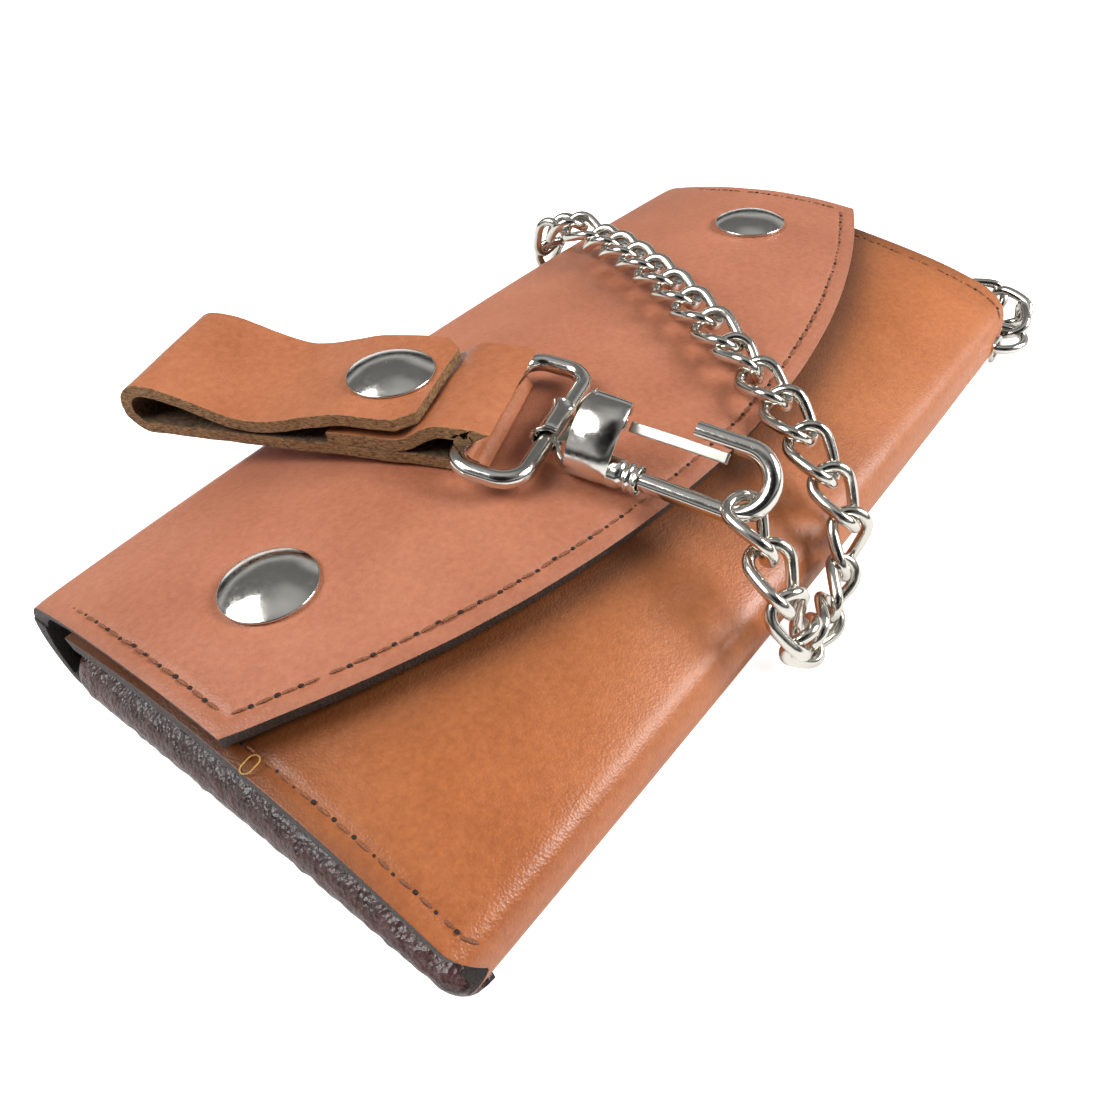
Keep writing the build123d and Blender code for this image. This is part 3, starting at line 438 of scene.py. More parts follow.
def circle_of(a, m, b):
    """Centre and radius of the circles through three points whose parts may be arrays."""
    d = 2 * (a[0] * (m[1] - b[1]) + m[0] * (b[1] - a[1]) + b[0] * (a[1] - m[1]))
    sa, sm, sb = (p[0] ** 2 + p[1] ** 2 for p in (a, m, b))
    cy = (sa * (m[1] - b[1]) + sm * (b[1] - a[1]) + sb * (a[1] - m[1])) / d
    cz = (sa * (b[0] - m[0]) + sm * (a[0] - b[0]) + sb * (m[0] - a[0])) / d
    return cy, cz, np.hypot(a[0] - cy, a[1] - cz)


def arc_of(a, m, b, count):
    """Points along the arc from a through m to b, evenly turned: rows along the arc, columns along X."""
    cy, cz, r = circle_of(a, m, b)
    start, middle, end = (np.arctan2(p[1] - cz, p[0] - cy) for p in (a, m, b))

    def short(angle):
        return (angle + np.pi) % (2 * np.pi) - np.pi

    sweep = short(middle - start) + short(end - middle)
    angle = start + sweep * np.linspace(0, 1, count)[:, None]
    return np.stack([cy + r * np.cos(angle), cz + r * np.sin(angle)], -1)


def arch(y, a, m, b):
    """Height at y of the upward circle through three points."""
    cy, cz, r = circle_of(a, m, b)
    return cz + np.sqrt(np.maximum(r * r - (y - cy) ** 2, 0))


def flap_height(x, y):
    """Flap's outer face: the arch through its rear, middle and front points, raised by the crown."""
    top = CROWN * bulge(x)
    return arch(y, raised(CREASE, top), raised(FLAP_MID, top), raised(FLAP_FRONT, top))


def panel_height(x, y):
    """Front panel's outer face: the arch through the fold's top, its middle and its edge."""
    top = CROWN * bulge(x)
    return arch(y, raised(FOLD_TOP, 0.5 * top), raised(PANEL_MID, top), raised(PANEL_EDGE, top))


def free_edge(x):
    """Y of the flap's free edge: the arc through its two ends and its tip at mid length."""
    r = (HALF ** 2 + EDGE_BOW ** 2) / (2 * EDGE_BOW)
    return EDGE_TIP + r - np.sqrt(r * r - x * x)


def even_rows(points, count):
    """The rows of a grid, spaced evenly along each column by its own length."""
    run = np.linalg.norm(np.diff(points, axis=0), axis=-1)
    gone = np.concatenate([np.zeros((1, run.shape[1])), np.cumsum(run, 0)])
    wanted = np.linspace(0, 1, count)
    return np.stack([
        np.stack([np.interp(wanted * gone[-1, k], gone[:, k], points[:, k, c])
                  for c in range(points.shape[-1])], -1)
        for k in range(points.shape[1])], 1)


def softened(points, spread):
    """Rows of a grid averaged with their neighbours by a bell curve, the ends held."""
    reach = int(3 * spread)
    weight = np.exp(-0.5 * (np.arange(-reach, reach + 1) / spread) ** 2)
    weight /= weight.sum()
    held = np.concatenate([2 * points[:1] - points[reach:0:-1], points,
                           2 * points[-1:] - points[-2:-reach - 2:-1]])
    return sum(w * held[k:k + len(points)] for k, w in enumerate(weight))


def spread_ends(count, pull=0.75):
    """Numbers from -1 to 1 that lie closer together near both ends, by a sine."""
    even = np.linspace(-1, 1, count)
    return (1 - pull) * even + pull * np.sin(even * np.pi / 2)


def normals_of(points):
    """Unit normals of a grid, from the cross product of its two directions."""
    n = np.cross(np.gradient(points, axis=0), np.gradient(points, axis=1))
    return n / np.linalg.norm(n, axis=-1, keepdims=True)


# ------------------------------------------------------------------ cover and flap
def spine_arc(x):
    """Arc round the spine at each x, from the crease down to the back."""
    return arc_of(raised(CREASE, CROWN * bulge(x)), (SPINE[0] + bulge(x), SPINE[1]), BACK_SPINE, SPINE_ROWS)


def cover_section(x):
    """Cover's section at each x: spine arc, flat back, fold arc and front panel arc, end to end."""
    top = CROWN * bulge(x)
    along = np.linspace(0, 1, 60)[:, None] * np.ones_like(x)
    back = np.stack([BACK_SPINE[0] + (BACK_FOLD[0] - BACK_SPINE[0]) * along, 0 * along], -1)
    fold_top = raised(FOLD_TOP, 0.5 * top)
    fold = arc_of(BACK_FOLD, (FOLD[0] - bulge(x), FOLD[1]), fold_top, 50)
    panel = arc_of(fold_top, raised(PANEL_MID, top), raised(PANEL_EDGE, top), 120)
    return np.concatenate([spine_arc(x)[SPINE_MEET:], back[1:], fold[1:], panel[1:]])


def leather_cover():
    """Cover: its section carried along the wallet, corners rounded by narrowing X near the fold.

    Off the back it is made uneven along its normals by two ripples, and pressed in along the seams by a
    bell-shaped groove.
    """
    across = spread_ends(150)
    section = softened(even_rows(cover_section(across * HALF), 280), 1.8)
    y, z = section[..., 0], section[..., 1]
    corner = np.where(across < 0, NEAR_CORNER, FAR_CORNER)
    beyond = np.clip(-y - (bulge(across * HALF) - FOLD[0] - corner), 0, corner)
    half = HALF - corner + np.sqrt(corner ** 2 - beyond ** 2)
    points = np.stack([across * half, y, z], -1)
    out = normals_of(points)
    off_back = np.clip((z - 3.0) / 6.0, 0, 1)
    uneven = 0.22 * ripple(points[..., 0], y * 1.3, 55, 3) + 0.07 * ripple(points[..., 0], y, 16, 5) - 0.12
    seam = np.abs(half * (1 - np.abs(across)) - SEAM_INSET)
    groove = 0.22 * np.exp(-(seam / 0.8) ** 2) * (z > 12)
    return points - out * ((groove - uneven) * off_back)[..., None] * out_sign(out, points)


def out_sign(out, points):
    """One where the grid's normals point away from the wallet's inside, minus one where they point in."""
    middle = np.array([0, 0, 9.0])
    facing = np.sum(out * (points - middle) * [0, 1, 1], -1)
    return np.sign(np.median(facing))


def panel_painted_shade(points):
    """Painted shade on the panel's hide: one less a painted shadow of the flap, full under it and falling off
    beside its edge, and another painted shade that falls off from the sewn ends.
    """
    x, y = points[..., 0], points[..., 1]
    # Painted shadow of the flap: full under it, falling off over 7 mm beside its free edge.
    painted_flap_shadow = np.exp(-np.clip(free_edge(np.clip(x, -HALF, HALF)) - y, 0, 60) / 7.0)
    # Painted shade towards the sewn ends of the panel, growing from the fold up.
    painted_end_shade = np.exp(-np.clip(HALF - np.abs(x), 0, 60) / 5.0) * np.clip((y + 47) / 20, 0, 1)
    return (1 - 0.60 * painted_flap_shadow) * (1 - 0.45 * painted_end_shade)


def flap_edge_darkening(points):
    """Darkening of the flap's hide: one less a small fall-off along its sewn ends and its free edge."""
    x, y = points[..., 0], points[..., 1]
    edge = np.minimum(y - free_edge(np.clip(x, -HALF, HALF)), HALF - np.abs(x))
    return 1 - 0.16 * np.exp(-np.clip(edge, 0, 60) / 2.5)


cover_points = leather_cover()
# The cover's hide carries the panel's painted shade, stored per point.
cover = grid_piece("cover_hide", cover_points, "wallet_body", [panel_hide, black_hide, edge_paint],
                   flip=out_sign(normals_of(cover_points), cover_points) > 0, wall=LEATHER + LINING,
                   bevel=0.45, darkening=panel_painted_shade(cover_points))
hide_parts("cover_leather", "cover_lining")


def leather_flap():
    """Flap: from low on the spine up over the rounded crease and along the arch to its curved free edge.

    Its height has two ripples, a bell-shaped groove along its seams, a rim that falls off at its edges and a
    ring pressed in round each snap cap.
    """
    x = spread_ends(170) * (HALF - 0.2)
    y = CREASE[0] + (free_edge(x) - CREASE[0]) * np.linspace(0, 1, 160)[1:, None]
    arched = np.stack([y, flap_height(x, y)], -1)
    section = softened(even_rows(np.concatenate([spine_arc(x)[SPINE_MEET::-1], arched]), 230), 2.2)
    y, z = section[..., 0], section[..., 1]
    points = np.stack([x * np.ones_like(y), y, z], -1)
    x = points[..., 0]
    edge_gap = np.minimum(y - free_edge(x), HALF - np.abs(x))
    cap_gap = np.hypot(np.abs(x) - CAP_X, y - CAP_Y)
    on_top = np.clip((36 - y) / 6, 0, 1)
    groove = 0.25 * np.exp(-((edge_gap - SEAM_INSET) / 0.75) ** 2) * on_top
    rim = 0.35 * np.exp(-edge_gap / 1.6)
    ring = 0.30 * np.exp(-((cap_gap - 8.2) / 1.5) ** 2)
    uneven = 0.20 * ripple(x, y * 1.2, 60, 11) + 0.06 * ripple(x, y, 15, 13) - 0.1
    off_caps, off_crease = np.clip((cap_gap - 7.0) / 6.0, 0, 1), np.clip((42 - y) / 8, 0, 1)
    points[..., 2] += uneven * off_caps * off_crease - groove - rim - ring
    return points


flap_points = leather_flap()
flap = grid_piece("flap_hide", flap_points, None, [flap_hide, black_hide, edge_paint],
                  flip=normals_of(flap_points)[150, 80, 2] > 0, wall=LEATHER + LINING, bevel=0.5,
                  darkening=flap_edge_darkening(flap_points))
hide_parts("flap_leather", "flap_lining")
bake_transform(flap)


# ------------------------------------------------------------------ seams
THREAD_SHOWS = 0.74         # share of a stitch that lies on top, the rest being its needle hole
THREAD_RINGS, THREAD_SIDES = 7, 6


def seam_frames(line, facing):
    """Frames of the stitches along a line: middle, then along, across and out vectors scaled to the stitch."""
    run = np.concatenate([[0], np.cumsum(np.linalg.norm(np.diff(line, axis=0), axis=1))])
    count = int(run[-1] / STITCH)
    stops = (np.arange(count) + 0.5) * run[-1] / count
    rng = np.random.default_rng(count)
    middle = np.stack([np.interp(stops, run, line[:, k]) for k in range(3)], -1)
    ahead = np.stack([np.interp(stops + 0.5, run, line[:, k]) for k in range(3)], -1)
    out = np.stack([np.interp(stops, run, facing[:, k]) for k in range(3)], -1)
    along = ahead - middle
    along /= np.linalg.norm(along, axis=1, keepdims=True)
    along += rng.normal(0, 0.05, along.shape)
    out /= np.linalg.norm(out, axis=1, keepdims=True)
    across = np.cross(out, along)
    return np.stack([middle, along * (STITCH * THREAD_SHOWS), across, out], 1)


def thread_shape():
    """One stitch: a bead drawn out along X, its section swelling as the root of a sine.

    Its ends are sunk by the square of a cosine.
    """
    u = np.linspace(0, np.pi, THREAD_RINGS)
    v = np.arange(THREAD_SIDES) * np.pi / (THREAD_SIDES / 2)
    each = np.ones(THREAD_SIDES)
    swell = np.sin(u) ** 0.5
    points = np.stack([np.outer(-np.cos(u) / 2, each), 0.27 * np.outer(swell, np.cos(v)),
                       0.20 * np.outer(swell, np.sin(v)) - 0.26 * np.outer(np.cos(u) ** 2, each)], -1)
    faces = torus_faces(THREAD_RINGS, THREAD_SIDES).reshape(THREAD_RINGS, THREAD_SIDES, 4)[:-1]
    return points.reshape(-1, 3), faces.reshape(-1, 4)


def sew(name, line, facing, body):
    """Row of stitches along a line on a surface, with a dark bead between each two as the needle hole's painted
    shade.
    """
    shape, faces = thread_shape()
    frames = seam_frames(line, facing)
    many_pieces(name, shape, faces, frames, body, thread)
    # Needle holes: dark beads sunk a little, painted shade standing in for each hole's hollow.
    holes = frames.copy()
    holes[:, 0] += frames[:, 1] * 0.5 / THREAD_SHOWS - frames[:, 3] * 0.05
    holes[:, 1] *= 0.36
    holes[:, 3] *= 0.6
    many_pieces(name + "_holes", shape * [1, 1.1, 1], faces, holes[:-1], body, needle_hole_shade)


def on_flap_line(x, y):
    """Line over the flap with its facing: the arch's height a little sunk, and its slopes by small steps."""
    z = flap_height(x, y) - 0.22
    slope_x = flap_height(x + 0.5, y) - flap_height(x - 0.5, y)
    slope_y = flap_height(x, y + 0.5) - flap_height(x, y - 0.5)
    return np.stack([x, y, z], -1), np.stack([-slope_x, -slope_y, np.ones_like(x)], -1)


def on_panel_line(x):
    """Line down the front panel at x, from under the flap to the fold: the cover's grid between its columns."""
    out = normals_of(cover_points)
    out = out * out_sign(out, cover_points)
    column = np.interp(x / HALF, spread_ends(cover_points.shape[1]), np.arange(cover_points.shape[1]))
    low, share = int(column), column - int(column)
    line = cover_points[:, low] * (1 - share) + cover_points[:, low + 1] * share
    facing = out[:, low] * (1 - share) + out[:, low + 1] * share
    kept = (line[:, 2] > 9.5) & (line[:, 1] < 33) & (facing[:, 2] > 0.05)
    return (line + 0.06 * facing)[kept][::-1], facing[kept][::-1]


def sew_wallet():
    """Seams: one line along the flap's ends and free edge, and one down each end of the front panel."""
    end = HALF - SEAM_INSET
    x = np.linspace(-end, end, 400)
    front = free_edge(x) + SEAM_INSET * np.sqrt(1 + np.gradient(free_edge(x), x) ** 2)
    down = np.linspace(40.5, front[0] + 0.8, 60)
    sew("flap_seam_near", *on_flap_line(np.full(60, -end), down), "flap")
    sew("flap_seam_far", *on_flap_line(np.full(60, end), down), "flap")
    sew("flap_seam_front", *on_flap_line(x, front), "flap")
    sew("panel_seam_near", *on_panel_line(-end), "wallet_body")
    sew("panel_seam_far", *on_panel_line(end), "wallet_body")


sew_wallet()


def sew_loop():
    """Loose loop of thread where the near panel seam starts: a round tube along a tilted, uneven ring."""
    around = np.arange(48)[:, None] * np.pi / 24
    turn = np.arange(10)[None] * np.pi / 5
    line, _ = on_panel_line(-(HALF - 2.0))
    start = line[np.argmin(np.abs(line[:, 1] - (free_edge(HALF) - 2.6)))]
    size = 1.20 + 0.25 * np.cos(2 * around) + 0.11 * np.cos(turn)
    points = start + np.stack([size * np.cos(around) - 0.6, 1.15 * size * np.sin(around),
                               0.42 + 0.34 * np.cos(around + 1.0) + 0.11 * np.sin(turn)], -1)
    in_place = np.concatenate([np.zeros((1, 3)), np.eye(3)])[None]
    many_pieces("loose_thread", points.reshape(-1, 3), torus_faces(48, 10), in_place,
                "wallet_body", loop_thread)


sew_loop()


# ------------------------------------------------------------------ gussets
GUSSET_FRONT, GUSSET_REAR = -44.6, 43.0
# The gusset's section from the bottom up, as (share of the room's height, distance from mid length).
GUSSET_SECTION = ((0.01, 87.6), (0.05, 89.1), (0.14, 89.9), (0.30, 90.0), (0.43, 88.9), (0.51, 86.8),
                  (0.55, 84.4), (0.60, 83.6), (0.72, 85.4), (0.86, 85.6), (1.0, 82.6))


def gusset_points(side):
    """Gusset: a fat roll that hides the cover's lower edge, a deep crease and a flatter roll over it.

    Its section is carried from front to rear, drawn in at both ends by a quarter circle, and wrinkled across by
    sharp folds, which are the root of a bent sine, and by two ripples.
    """
    y = np.linspace(GUSSET_FRONT, GUSSET_REAR, 320)[None]
    room = panel_height(np.full_like(y, 84.0), np.clip(y, FOLD_TOP[0], PANEL_EDGE[0])) - LEATHER - LINING - 0.1
    share, out = np.array(GUSSET_SECTION).T
    fine = np.linspace(0, 1, 90)
    level, reach = (softened(np.interp(fine, np.linspace(0, 1, len(share)), knots)[:, None], 3.0)
                    for knots in (share, out))
    z = level * np.minimum(room, 16.0)
    ends = np.clip(np.minimum((y - GUSSET_FRONT) / 4.5, (GUSSET_REAR - y) / 6.0), 0, 1)
    reach = reach - 3.2 * (1 - np.sqrt(1 - (1 - ends) ** 2))
    folds = np.abs(np.sin(y * 0.42 + 2.2 * np.sin(z * 0.35 + y * 0.11) + 0.8 * np.sin(y * 0.9))) ** 0.6 - 0.65
    small = ripple(y + 0 * z, z * 1.6, 3.2, 21 + side)
    soft = np.clip(np.sin(np.pi * fine[:, None]) * 2, 0, 1) * ends
    reach = reach + (0.10 * folds + 0.10 * small) * soft
    z = z + 0.15 * ripple(y + 0 * z, z * 2, 7.0, 31 + side) * soft
    return np.stack([side * reach, y + 0 * z, z], -1)


def make_gussets():
    """Gussets at both ends, with painted shade above and below the lower roll: the colour is multiplied by a bell
    curve of the height, so that roll is brightest.
    """
    for side, name in ((-1, "near"), (1, "far")):
        points = gusset_points(side)
        # Painted shade on the gusset: full colour on the lower roll, down to a quarter above and below it.
        shade = 0.25 + 0.75 * np.exp(-((points[..., 2] - 4.6) / 2.6) ** 2)
        inward = normals_of(points)[20, 130, 0] * side > 0
        gusset = grid_piece(f"gusset_{name}_hide", points, "wallet_body", [gusset_hide],
                            flip=inward, wall=0.9, darkening=shade)
        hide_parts(f"gusset_{name}")


make_gussets()


# ------------------------------------------------------------------ chain
LINK_TWIST = np.radians(-42)    # turn of each end against the middle
LINK_WIRE = 0.98                # radius of the wire
LINK_HALF, LINK_BOW = 5.30, 3.42    # half the length, and the bow's radius, both to the wire's middle
LINK_ROWS, LINK_SIDES = 44, 12
FLOOR_GAP = 0.02                # least height of a link over the floor


def link_shape():
    """Twisted link: round wire along a closed stadium whose width turns about its length from end to end."""
    straight, turn = 2 * (LINK_HALF - LINK_BOW), np.pi * LINK_BOW
    t = np.arange(LINK_ROWS) / LINK_ROWS * (2 * straight + 2 * turn)
    out = np.clip(t, 0, straight)
    far = np.clip(t - straight, 0, turn) / LINK_BOW
    back = np.clip(t - straight - turn, 0, straight)
    near = np.clip(t - 2 * straight - turn, 0, turn) / LINK_BOW
    x = -(LINK_HALF - LINK_BOW) + out + LINK_BOW * np.sin(far) - back - LINK_BOW * np.sin(near)
    y = LINK_BOW * np.where(near > 0, np.cos(near), -np.cos(far))
    angle = LINK_TWIST * x / LINK_HALF
    line = np.stack([x, y * np.cos(angle), y * np.sin(angle)], -1)
    ahead = np.roll(line, -1, axis=0) - np.roll(line, 1, axis=0)
    ahead /= np.linalg.norm(ahead, axis=1, keepdims=True)
    flat = np.stack([0 * x, -np.sin(angle), np.cos(angle)], -1)
    side = np.cross(flat, ahead)
    side /= np.linalg.norm(side, axis=1, keepdims=True)
    flat = np.cross(ahead, side)
    v = np.arange(LINK_SIDES) * np.pi / (LINK_SIDES / 2)
    ring = side[:, None] * np.cos(v)[:, None] + flat[:, None] * np.sin(v)[:, None]
    points = line[:, None] + LINK_WIRE * ring
    return points.reshape(-1, 3), torus_faces(LINK_ROWS, LINK_SIDES)


def link_places(node, count):
    """Middle and length, width and flat directions of a node's equal solids, by the spread of their points."""
    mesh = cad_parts[node].data
    co = np.zeros(len(mesh.vertices) * 3)
    mesh.vertices.foreach_get("co", co)
    solids = (co.reshape(-1, 3) / MM).reshape(count, -1, 3)
    middle = (solids.max(1) + solids.min(1)) / 2
    spread = solids - solids.mean(1, keepdims=True)
    _, axes = np.linalg.eigh(np.einsum("mvi,mvj->mij", spread, spread))
    return np.stack([middle, axes[..., 2], axes[..., 1], axes[..., 0]], 1)


def turned(vectors, axes, angle):
    """Unit vectors turned about unit axes that they stand square to."""
    return vectors * np.cos(angle) + np.cross(axes, vectors) * np.sin(angle)


def hang_chain():
    """Chain: every link keeps the CAD link's middle and length, its flat side the mean of its neighbours'.

    The links at the ring and at the hook turn so that their outer ends stay square to them, and a link whose
    twist would take it through the floor is raised.
    """
    groups = (("tail_end_links", "wallet_body", 10), ("tail_spine_links", "wallet_body", 10),
              ("lead_flap_links", "lead", 11), ("lead_hanging_links", "lead", 11))
    links = np.concatenate([link_places(node, count) for node, _, count in groups])
    middle, along, flat = links[:, 0], links[:, 1], links[:, 3]
    ahead = np.gradient(middle, axis=0)
    along *= np.sign(np.sum(along * ahead, 1, keepdims=True))
    outward = middle - np.clip(middle, [-80, -34, 4], [80, 34, 4])
    flat *= np.sign(np.sum(flat * outward, 1, keepdims=True))
    mean = flat.copy()
    mean[1:-1] = flat[1:-1] + (flat[:-2] + flat[2:]) / 2
    mean[:2], mean[-1] = flat[:2], flat[-1]
    mean -= along * np.sum(mean * along, 1, keepdims=True)
    mean /= np.linalg.norm(mean, axis=1, keepdims=True)
    mean[0] = turned(flat[0], along[0], LINK_TWIST)
    mean[-1] = turned(flat[-1], along[-1], -LINK_TWIST)
    frames = np.stack([middle, along, np.cross(mean, along), mean], 1)
    shape, faces = link_shape()
    lowest = (np.einsum("vk,mkc->mvc", shape, frames[:, 1:]) + frames[:, :1])[..., 2].min(1)
    frames[:, 0, 2] += np.maximum(FLOOR_GAP - lowest, 0)
    first = 0
    for node, body, count in groups:
        piece = many_pieces("curb_" + node, shape, faces, frames[first:first + count], body, chain_nickel)
        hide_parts(node)
        first += count


hang_chain()


# ------------------------------------------------------------------ stamped clip
BAR = np.array([-19.2, -5.7, 28.926])            # middle of the bar that the clip turns on
BAR_YAW = np.radians(16)
BAR_ALONG = np.array([np.cos(BAR_YAW), np.sin(BAR_YAW), 0])
HOOK_ALONG = np.array([0.15557, -0.98228, -0.10453])
HOOK_LEVEL = np.array([0.98769, 0.15643, 0])
HOOK_UP = np.cross(HOOK_ALONG, HOOK_LEVEL)
HOOK_LEAN = np.radians(44)                       # how far the hook's plane is turned up about its rod
HOOK_ACROSS = HOOK_LEVEL * np.cos(HOOK_LEAN) + HOOK_UP * np.sin(HOOK_LEAN)
HOOK_FRONT = np.cross(HOOK_ALONG, HOOK_ACROSS)
ROD_START = BAR + HOOK_ALONG * 16.9 - HOOK_ACROSS * 3.8 + HOOK_FRONT * 3.7
# Thumb shield's section from the sleeve over to the gate's root, as (Y, Z) in the hook's plane.
SHIELD_SECTION = ((0.9, -2.3), (-1.5, -2.1), (-2.5, 0), (-2.0, 2.0), (0.6, 3.4), (4.2, 4.0), (7.6, 3.5),
                  (10.3, 1.8), (10.9, 0), (10.4, -1.7), (9.2, -2.2))
SHIELD_MID = 4.2
LEAF_NEAR, LEAF_TIP, LEAF_ROWS = -4.0, 12.0, 40   # the leaf's two ends along the rod


def hook_place(u, y, z):
    """Point of the hook: u along the rod, y from rod to tip, z out of the hook's plane."""
    u, y, z = np.broadcast_arrays(u, y, z)
    return ROD_START + u[..., None] * HOOK_ALONG + y[..., None] * HOOK_ACROSS + z[..., None] * HOOK_FRONT


def smooth_knots(knots, count, spread):
    """Curve near a few knots: straight runs, evened and softened."""
    return softened(even_rows(np.array(knots, float)[:, None], count), spread)[:, 0]


def thumb_shield():
    """Shield: a C section from the rod's sleeve over to the gate's root, crowned along the rod like a saddle."""
    y, z = smooth_knots(SHIELD_SECTION, 90, 3.0).T[:, None]
    w = np.linspace(-1, 1, 90)[None]
    t = np.linspace(-1, 1, 40)[:, None]
    high = np.clip(z / 4.0, 0, 1)
    u = -7.7 + t * (3.2 - 0.7 * np.abs(w) ** 4 * (t > 0)) + 0.4 * high * t
    front = np.clip(t, 0, 1)
    crown = 0.45 * (1 - t ** 2) * high - 0.55 * front ** 4 * high + 0.8 * np.clip(-t - 0.5, 0, 1) ** 2 * high
    return hook_place(u, SHIELD_MID + (y - SHIELD_MID) * (1 - 0.04 * front ** 2), z + crown)


def clip_curl():
    """Curl: sheet turned most of the way round the bar, with its two ends flared like ears."""
    turn = np.linspace(-2.6, 2.35, 60)[:, None]
    w = np.linspace(-1, 1, 24)[None]
    side = np.cross(BAR_ALONG, HOOK_UP)
    side /= np.linalg.norm(side)
    up = np.cross(side, BAR_ALONG)
    radius = 2.0 + 0.55 * np.abs(w) ** 6
    reach = 4.2 + 0.6 * np.cos(turn)
    around = np.cos(turn)[..., None] * -side + np.sin(turn)[..., None] * up
    return BAR + (w * reach)[..., None] * BAR_ALONG + radius[..., None] * around


def clip_neck(low, high, half_low, half_high, waist):
    """Neck plate: straight from the curl to the shield, hollowed along its middle and narrowed at its waist."""
    s = np.linspace(0, 1, 30)[:, None]
    w = np.linspace(-1, 1, 24)[None]
    middle = low + (high - low) * s[..., None]
    across = BAR_ALONG * (1 - s[..., None]) + HOOK_ACROSS * s[..., None]
    half = half_low + (half_high - half_low) * s - waist * np.sin(np.pi * s)
    hollow = 0.9 * (1 - w ** 2) * np.sin(np.pi * s)
    return middle + (w * half)[..., None] * across - hollow[..., None] * HOOK_FRONT


def clip_ear(low, high):
    """Ear: a ribbon from the end of the curl to the shield's side, bowed outwards by a sine and twisted."""
    s = np.linspace(0, 1, 30)[:, None]
    w = np.linspace(-1, 1, 10)[None]
    out = np.sign(np.dot(low - BAR, BAR_ALONG))
    middle = low + (high - low) * s[..., None] + (0.9 * out * np.sin(np.pi * s))[..., None] * BAR_ALONG
    lean = np.cos(1.2 * s)[..., None] * HOOK_UP + np.sin(1.2 * s)[..., None] * HOOK_FRONT
    return middle + (w * (1.3 + 0.5 * (1 - s)))[..., None] * lean


def rod_sleeve():
    """Sleeve: sheet rolled round the rod, with two crimped waists past the shield."""
    u = np.linspace(-8.0, 0.6, 70)[None]
    turn = np.linspace(0, 2 * np.pi, 41)[:-1, None]
    radius = 2.35 - 0.42 * np.exp(-((u + 1.9) / 0.5) ** 2) - 0.30 * np.exp(-((u + 0.5) / 0.35) ** 2)
    radius = radius * (1 + 0.05 * np.cos(2 * turn + 0.6))
    return hook_place(u, radius * np.cos(turn), radius * np.sin(turn))


def gate_root():
    """Root of the gate leaf: its strip carried on inside the shield, a tube whose section is a flat oblong."""
    u = np.linspace(-11.0, -4.7, 20)[None]
    turn = np.linspace(0, 2 * np.pi, 25)[:-1, None]
    y = 7.35 + 0.85 * np.sign(np.cos(turn)) * np.abs(np.cos(turn)) ** 0.4
    z = 0.35 * np.sign(np.sin(turn)) * np.abs(np.sin(turn)) ** 0.4 - 0.1
    return hook_place(u, y, z)


def gate_leaf():
    """Gate leaf: a flat strip beside the tip's inner side, its section a rounded oblong, closed at both ends."""
    u = np.concatenate([[LEAF_NEAR], np.linspace(LEAF_NEAR, LEAF_TIP, LEAF_ROWS), [LEAF_TIP]])[None]
    size = np.concatenate([[0.0], np.ones(LEAF_ROWS), [0.0]])[None]
    turn = np.linspace(0, 2 * np.pi, 41)[:-1, None]
    y = 7.50 + 0.85 * size * np.sign(np.cos(turn)) * np.abs(np.cos(turn)) ** 0.25
    z = 0.28 * size * np.sign(np.sin(turn)) * np.abs(np.sin(turn)) ** 0.35
    return hook_place(u, y - 0.02 * np.clip(4 - u, 0, 8), z + 0.02 * (u - 4))


def make_clip():
    """Clip body of nickelled sheet: shield, curl, neck, two ears, sleeve and gate root, and the gate's leaf."""
    back = hook_place(-10.6, SHIELD_MID, 2.6)
    low = BAR + HOOK_ALONG * 1.9
    sheets = [("clip_shield", thumb_shield(), 0.7), ("clip_curl", clip_curl(), 0.6),
              ("clip_neck", clip_neck(low, back, 4.0, 4.4, 1.6), 0.7),
              ("clip_ear_near", clip_ear(low - BAR_ALONG * 4.4, hook_place(-10.4, -2.0, 0.6)), 0.5),
              ("clip_ear_far", clip_ear(low + BAR_ALONG * 4.4, hook_place(-10.4, 10.4, 0.8)), 0.5)]
    for name, points, wall in sheets:
        piece = grid_piece(name, points, "lead", [nickel], wall=wall, offset=0.0, bevel=0.12)
        if name == "clip_shield":
            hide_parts("clip_body")
    leaf = grid_piece("gate_leaf", gate_leaf(), "gate", [spring_steel], wrap=True)
    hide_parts("gate")
    for name, points in (("clip_sleeve", rod_sleeve()), ("clip_gate_root", gate_root())):
        grid_piece(name, points, "lead", [nickel], wall=0.25, wrap=True)


make_clip()


# ------------------------------------------------------------------ belt loop
STRAP = 2.2                 # thickness of the leather
STRAP_HALF = 12.7           # half the width
STRAP_YAW = np.radians(22)
LAYER = 1.1                 # middle of the lower layer over the strap's underside
WRAP_TOP = 6.9              # of the wrap over the wire loop
LEAF_TOP = 8.5              # of the upper leaf at the far fold
FOLD_U = 64.0               # where the far fold starts
STRAP_START = np.array([-19.75, 0.0, 0])
STRAP_ALONG = np.array([-np.sin(STRAP_YAW), np.cos(STRAP_YAW), 0])
STRAP_ACROSS = np.array([np.cos(STRAP_YAW), np.sin(STRAP_YAW), 0])
STRAP_FOOT = STRAP_START + STRAP_ALONG * 9.8     # where the strap rests on the flap
STRAP_ORIGIN = STRAP_START + [0, 0, flap_height(STRAP_FOOT[0], STRAP_FOOT[1]) + 0.2]


def strap_place(u, v, z):
    """Point of the strap: u from the wrap to the far fold, v across its width, z over its underside."""
    return STRAP_ORIGIN + u[..., None] * STRAP_ALONG + v[..., None] * STRAP_ACROSS + z[..., None] * [0, 0, 1]


def half_turn(u, low, high, way, count):
    """Half circle in the strap's plane from one height to another, bulging along u one way."""
    angle = np.linspace(0, np.pi, count)
    radius = (high - low) / 2
    return np.stack([u + way * radius * np.sin(angle), (high + low) / 2 - radius * np.cos(angle)], -1)


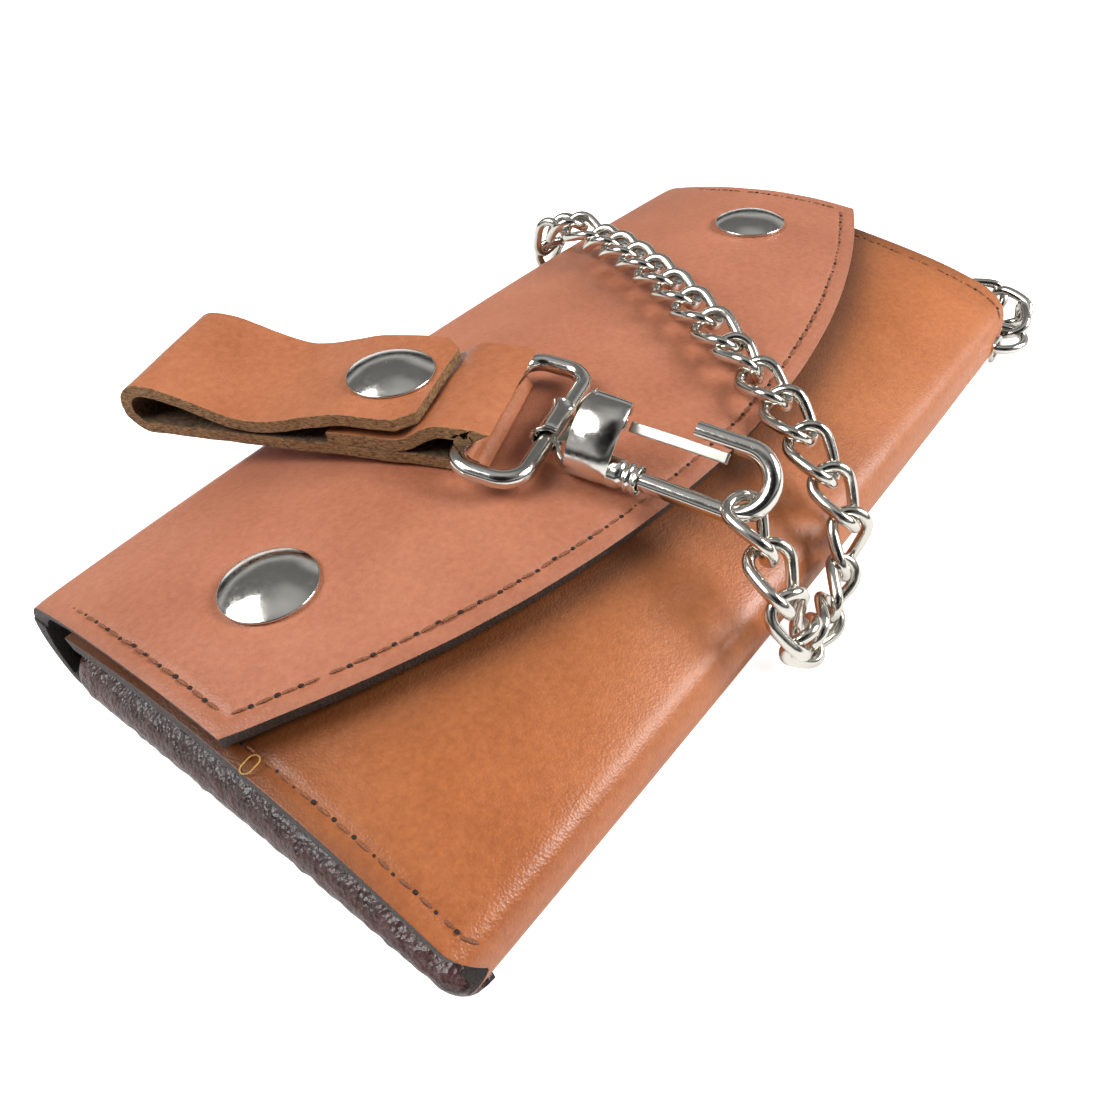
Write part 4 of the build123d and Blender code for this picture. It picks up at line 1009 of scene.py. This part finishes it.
def ease(t):
    """Smooth step from 0 to 1: three times the square less twice the cube."""
    t = np.clip(t, 0, 1)
    return t * t * (3 - 2 * t)


def strap_grid(path, rows, spread, seed, clip=False):
    """Strap: its path in the strap's plane, evened and softened, carried across a slightly uneven width.

    Clipped, it narrows at 45 degrees to its end, on the upper leaf only.
    """
    path = softened(even_rows(path[:, None], rows), spread)[:, 0]
    u, z = path[:, :1], path[:, 1:]
    v = spread_ends(34)[None]
    half = STRAP_HALF - 0.15 + 0.12 * ripple(u, z * 4, 9.0, seed)
    if clip:
        half = np.minimum(half, STRAP_HALF - 3.0 + np.maximum(u - 14.5, 0) + 40.0 * (z < 5.5))
    return strap_place(u + 0 * v, half * v, z + 0.10 * ripple(u + 0 * v, half * v, 14.0, seed + 1))


def make_belt_loop():
    """Belt loop in two pieces: wrap and lower layer on the wire loop, and far fold and upper leaf as a piece of
    its own, on no body.

    Each path goes through (U, Z) points of the leather's middle: straight runs, eased slopes and half turns.
    """
    skins = [strap_hide, strap_back, strap_edge]
    ramp = np.linspace(0, 1, 20)
    wrap = np.concatenate([np.stack([np.linspace(30, 18.6, 20), np.full(20, 3.25)], -1),
                           np.stack([18.0 - 8.2 * ramp, 3.25 + 3.65 * ease(ramp)], -1),
                           half_turn(4.0, WRAP_TOP, LAYER, -1, 24),
                           np.stack([np.linspace(4.6, FOLD_U, 60), np.full(60, LAYER)], -1)])
    lower = grid_piece("strap_lower", strap_grid(wrap, 240, 1.6, 41), "belt_loop", skins,
                       wall=STRAP, offset=0.0, bevel=0.3, flip=True)
    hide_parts("strap_main")
    sag = np.linspace(0, 1, 40)
    leaf = np.concatenate([half_turn(FOLD_U, LAYER, LEAF_TOP, 1, 30),
                           np.stack([FOLD_U - 20 * sag, LEAF_TOP - 4.7 * ease(sag)], -1)[1:],
                           np.stack([44.0 - 18.8 * sag, 3.8 + 3.35 * ease(sag)], -1)[1:],
                           np.stack([np.linspace(25.0, 14.5, 20), np.full(20, 7.15)], -1)])
    upper = grid_piece("strap_upper", strap_grid(leaf, 190, 1.8, 51, clip=True), None, skins,
                       wall=STRAP, offset=0.0, bevel=0.3, flip=True)
    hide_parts("strap_leaf")
    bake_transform(upper)


make_belt_loop()


# ------------------------------------------------------------------ finishes of the CAD parts
def finish_node(name, skin):
    """Gives a CAD node its material in place of the one it came with."""
    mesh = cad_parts[name].data
    mesh.materials.clear()
    mesh.materials.append(skin)


SNAPS = [f"snap_{part}_{end}" for part in ("cap", "socket", "stud", "post") for end in ("near", "far")]
BELT_SNAP = ["belt_cap", "belt_socket", "belt_stud", "belt_post"]
POCKETS = ["pocket_board", "card_pocket_1", "card_pocket_2", "card_pocket_3", "bill_divider"]
for name in (*SNAPS, *BELT_SNAP, "corner_eyelet", "corner_ring", "hook", "wire_loop"):
    finish_node(name, nickel)
for name in POCKETS:
    finish_node(name, black_hide)
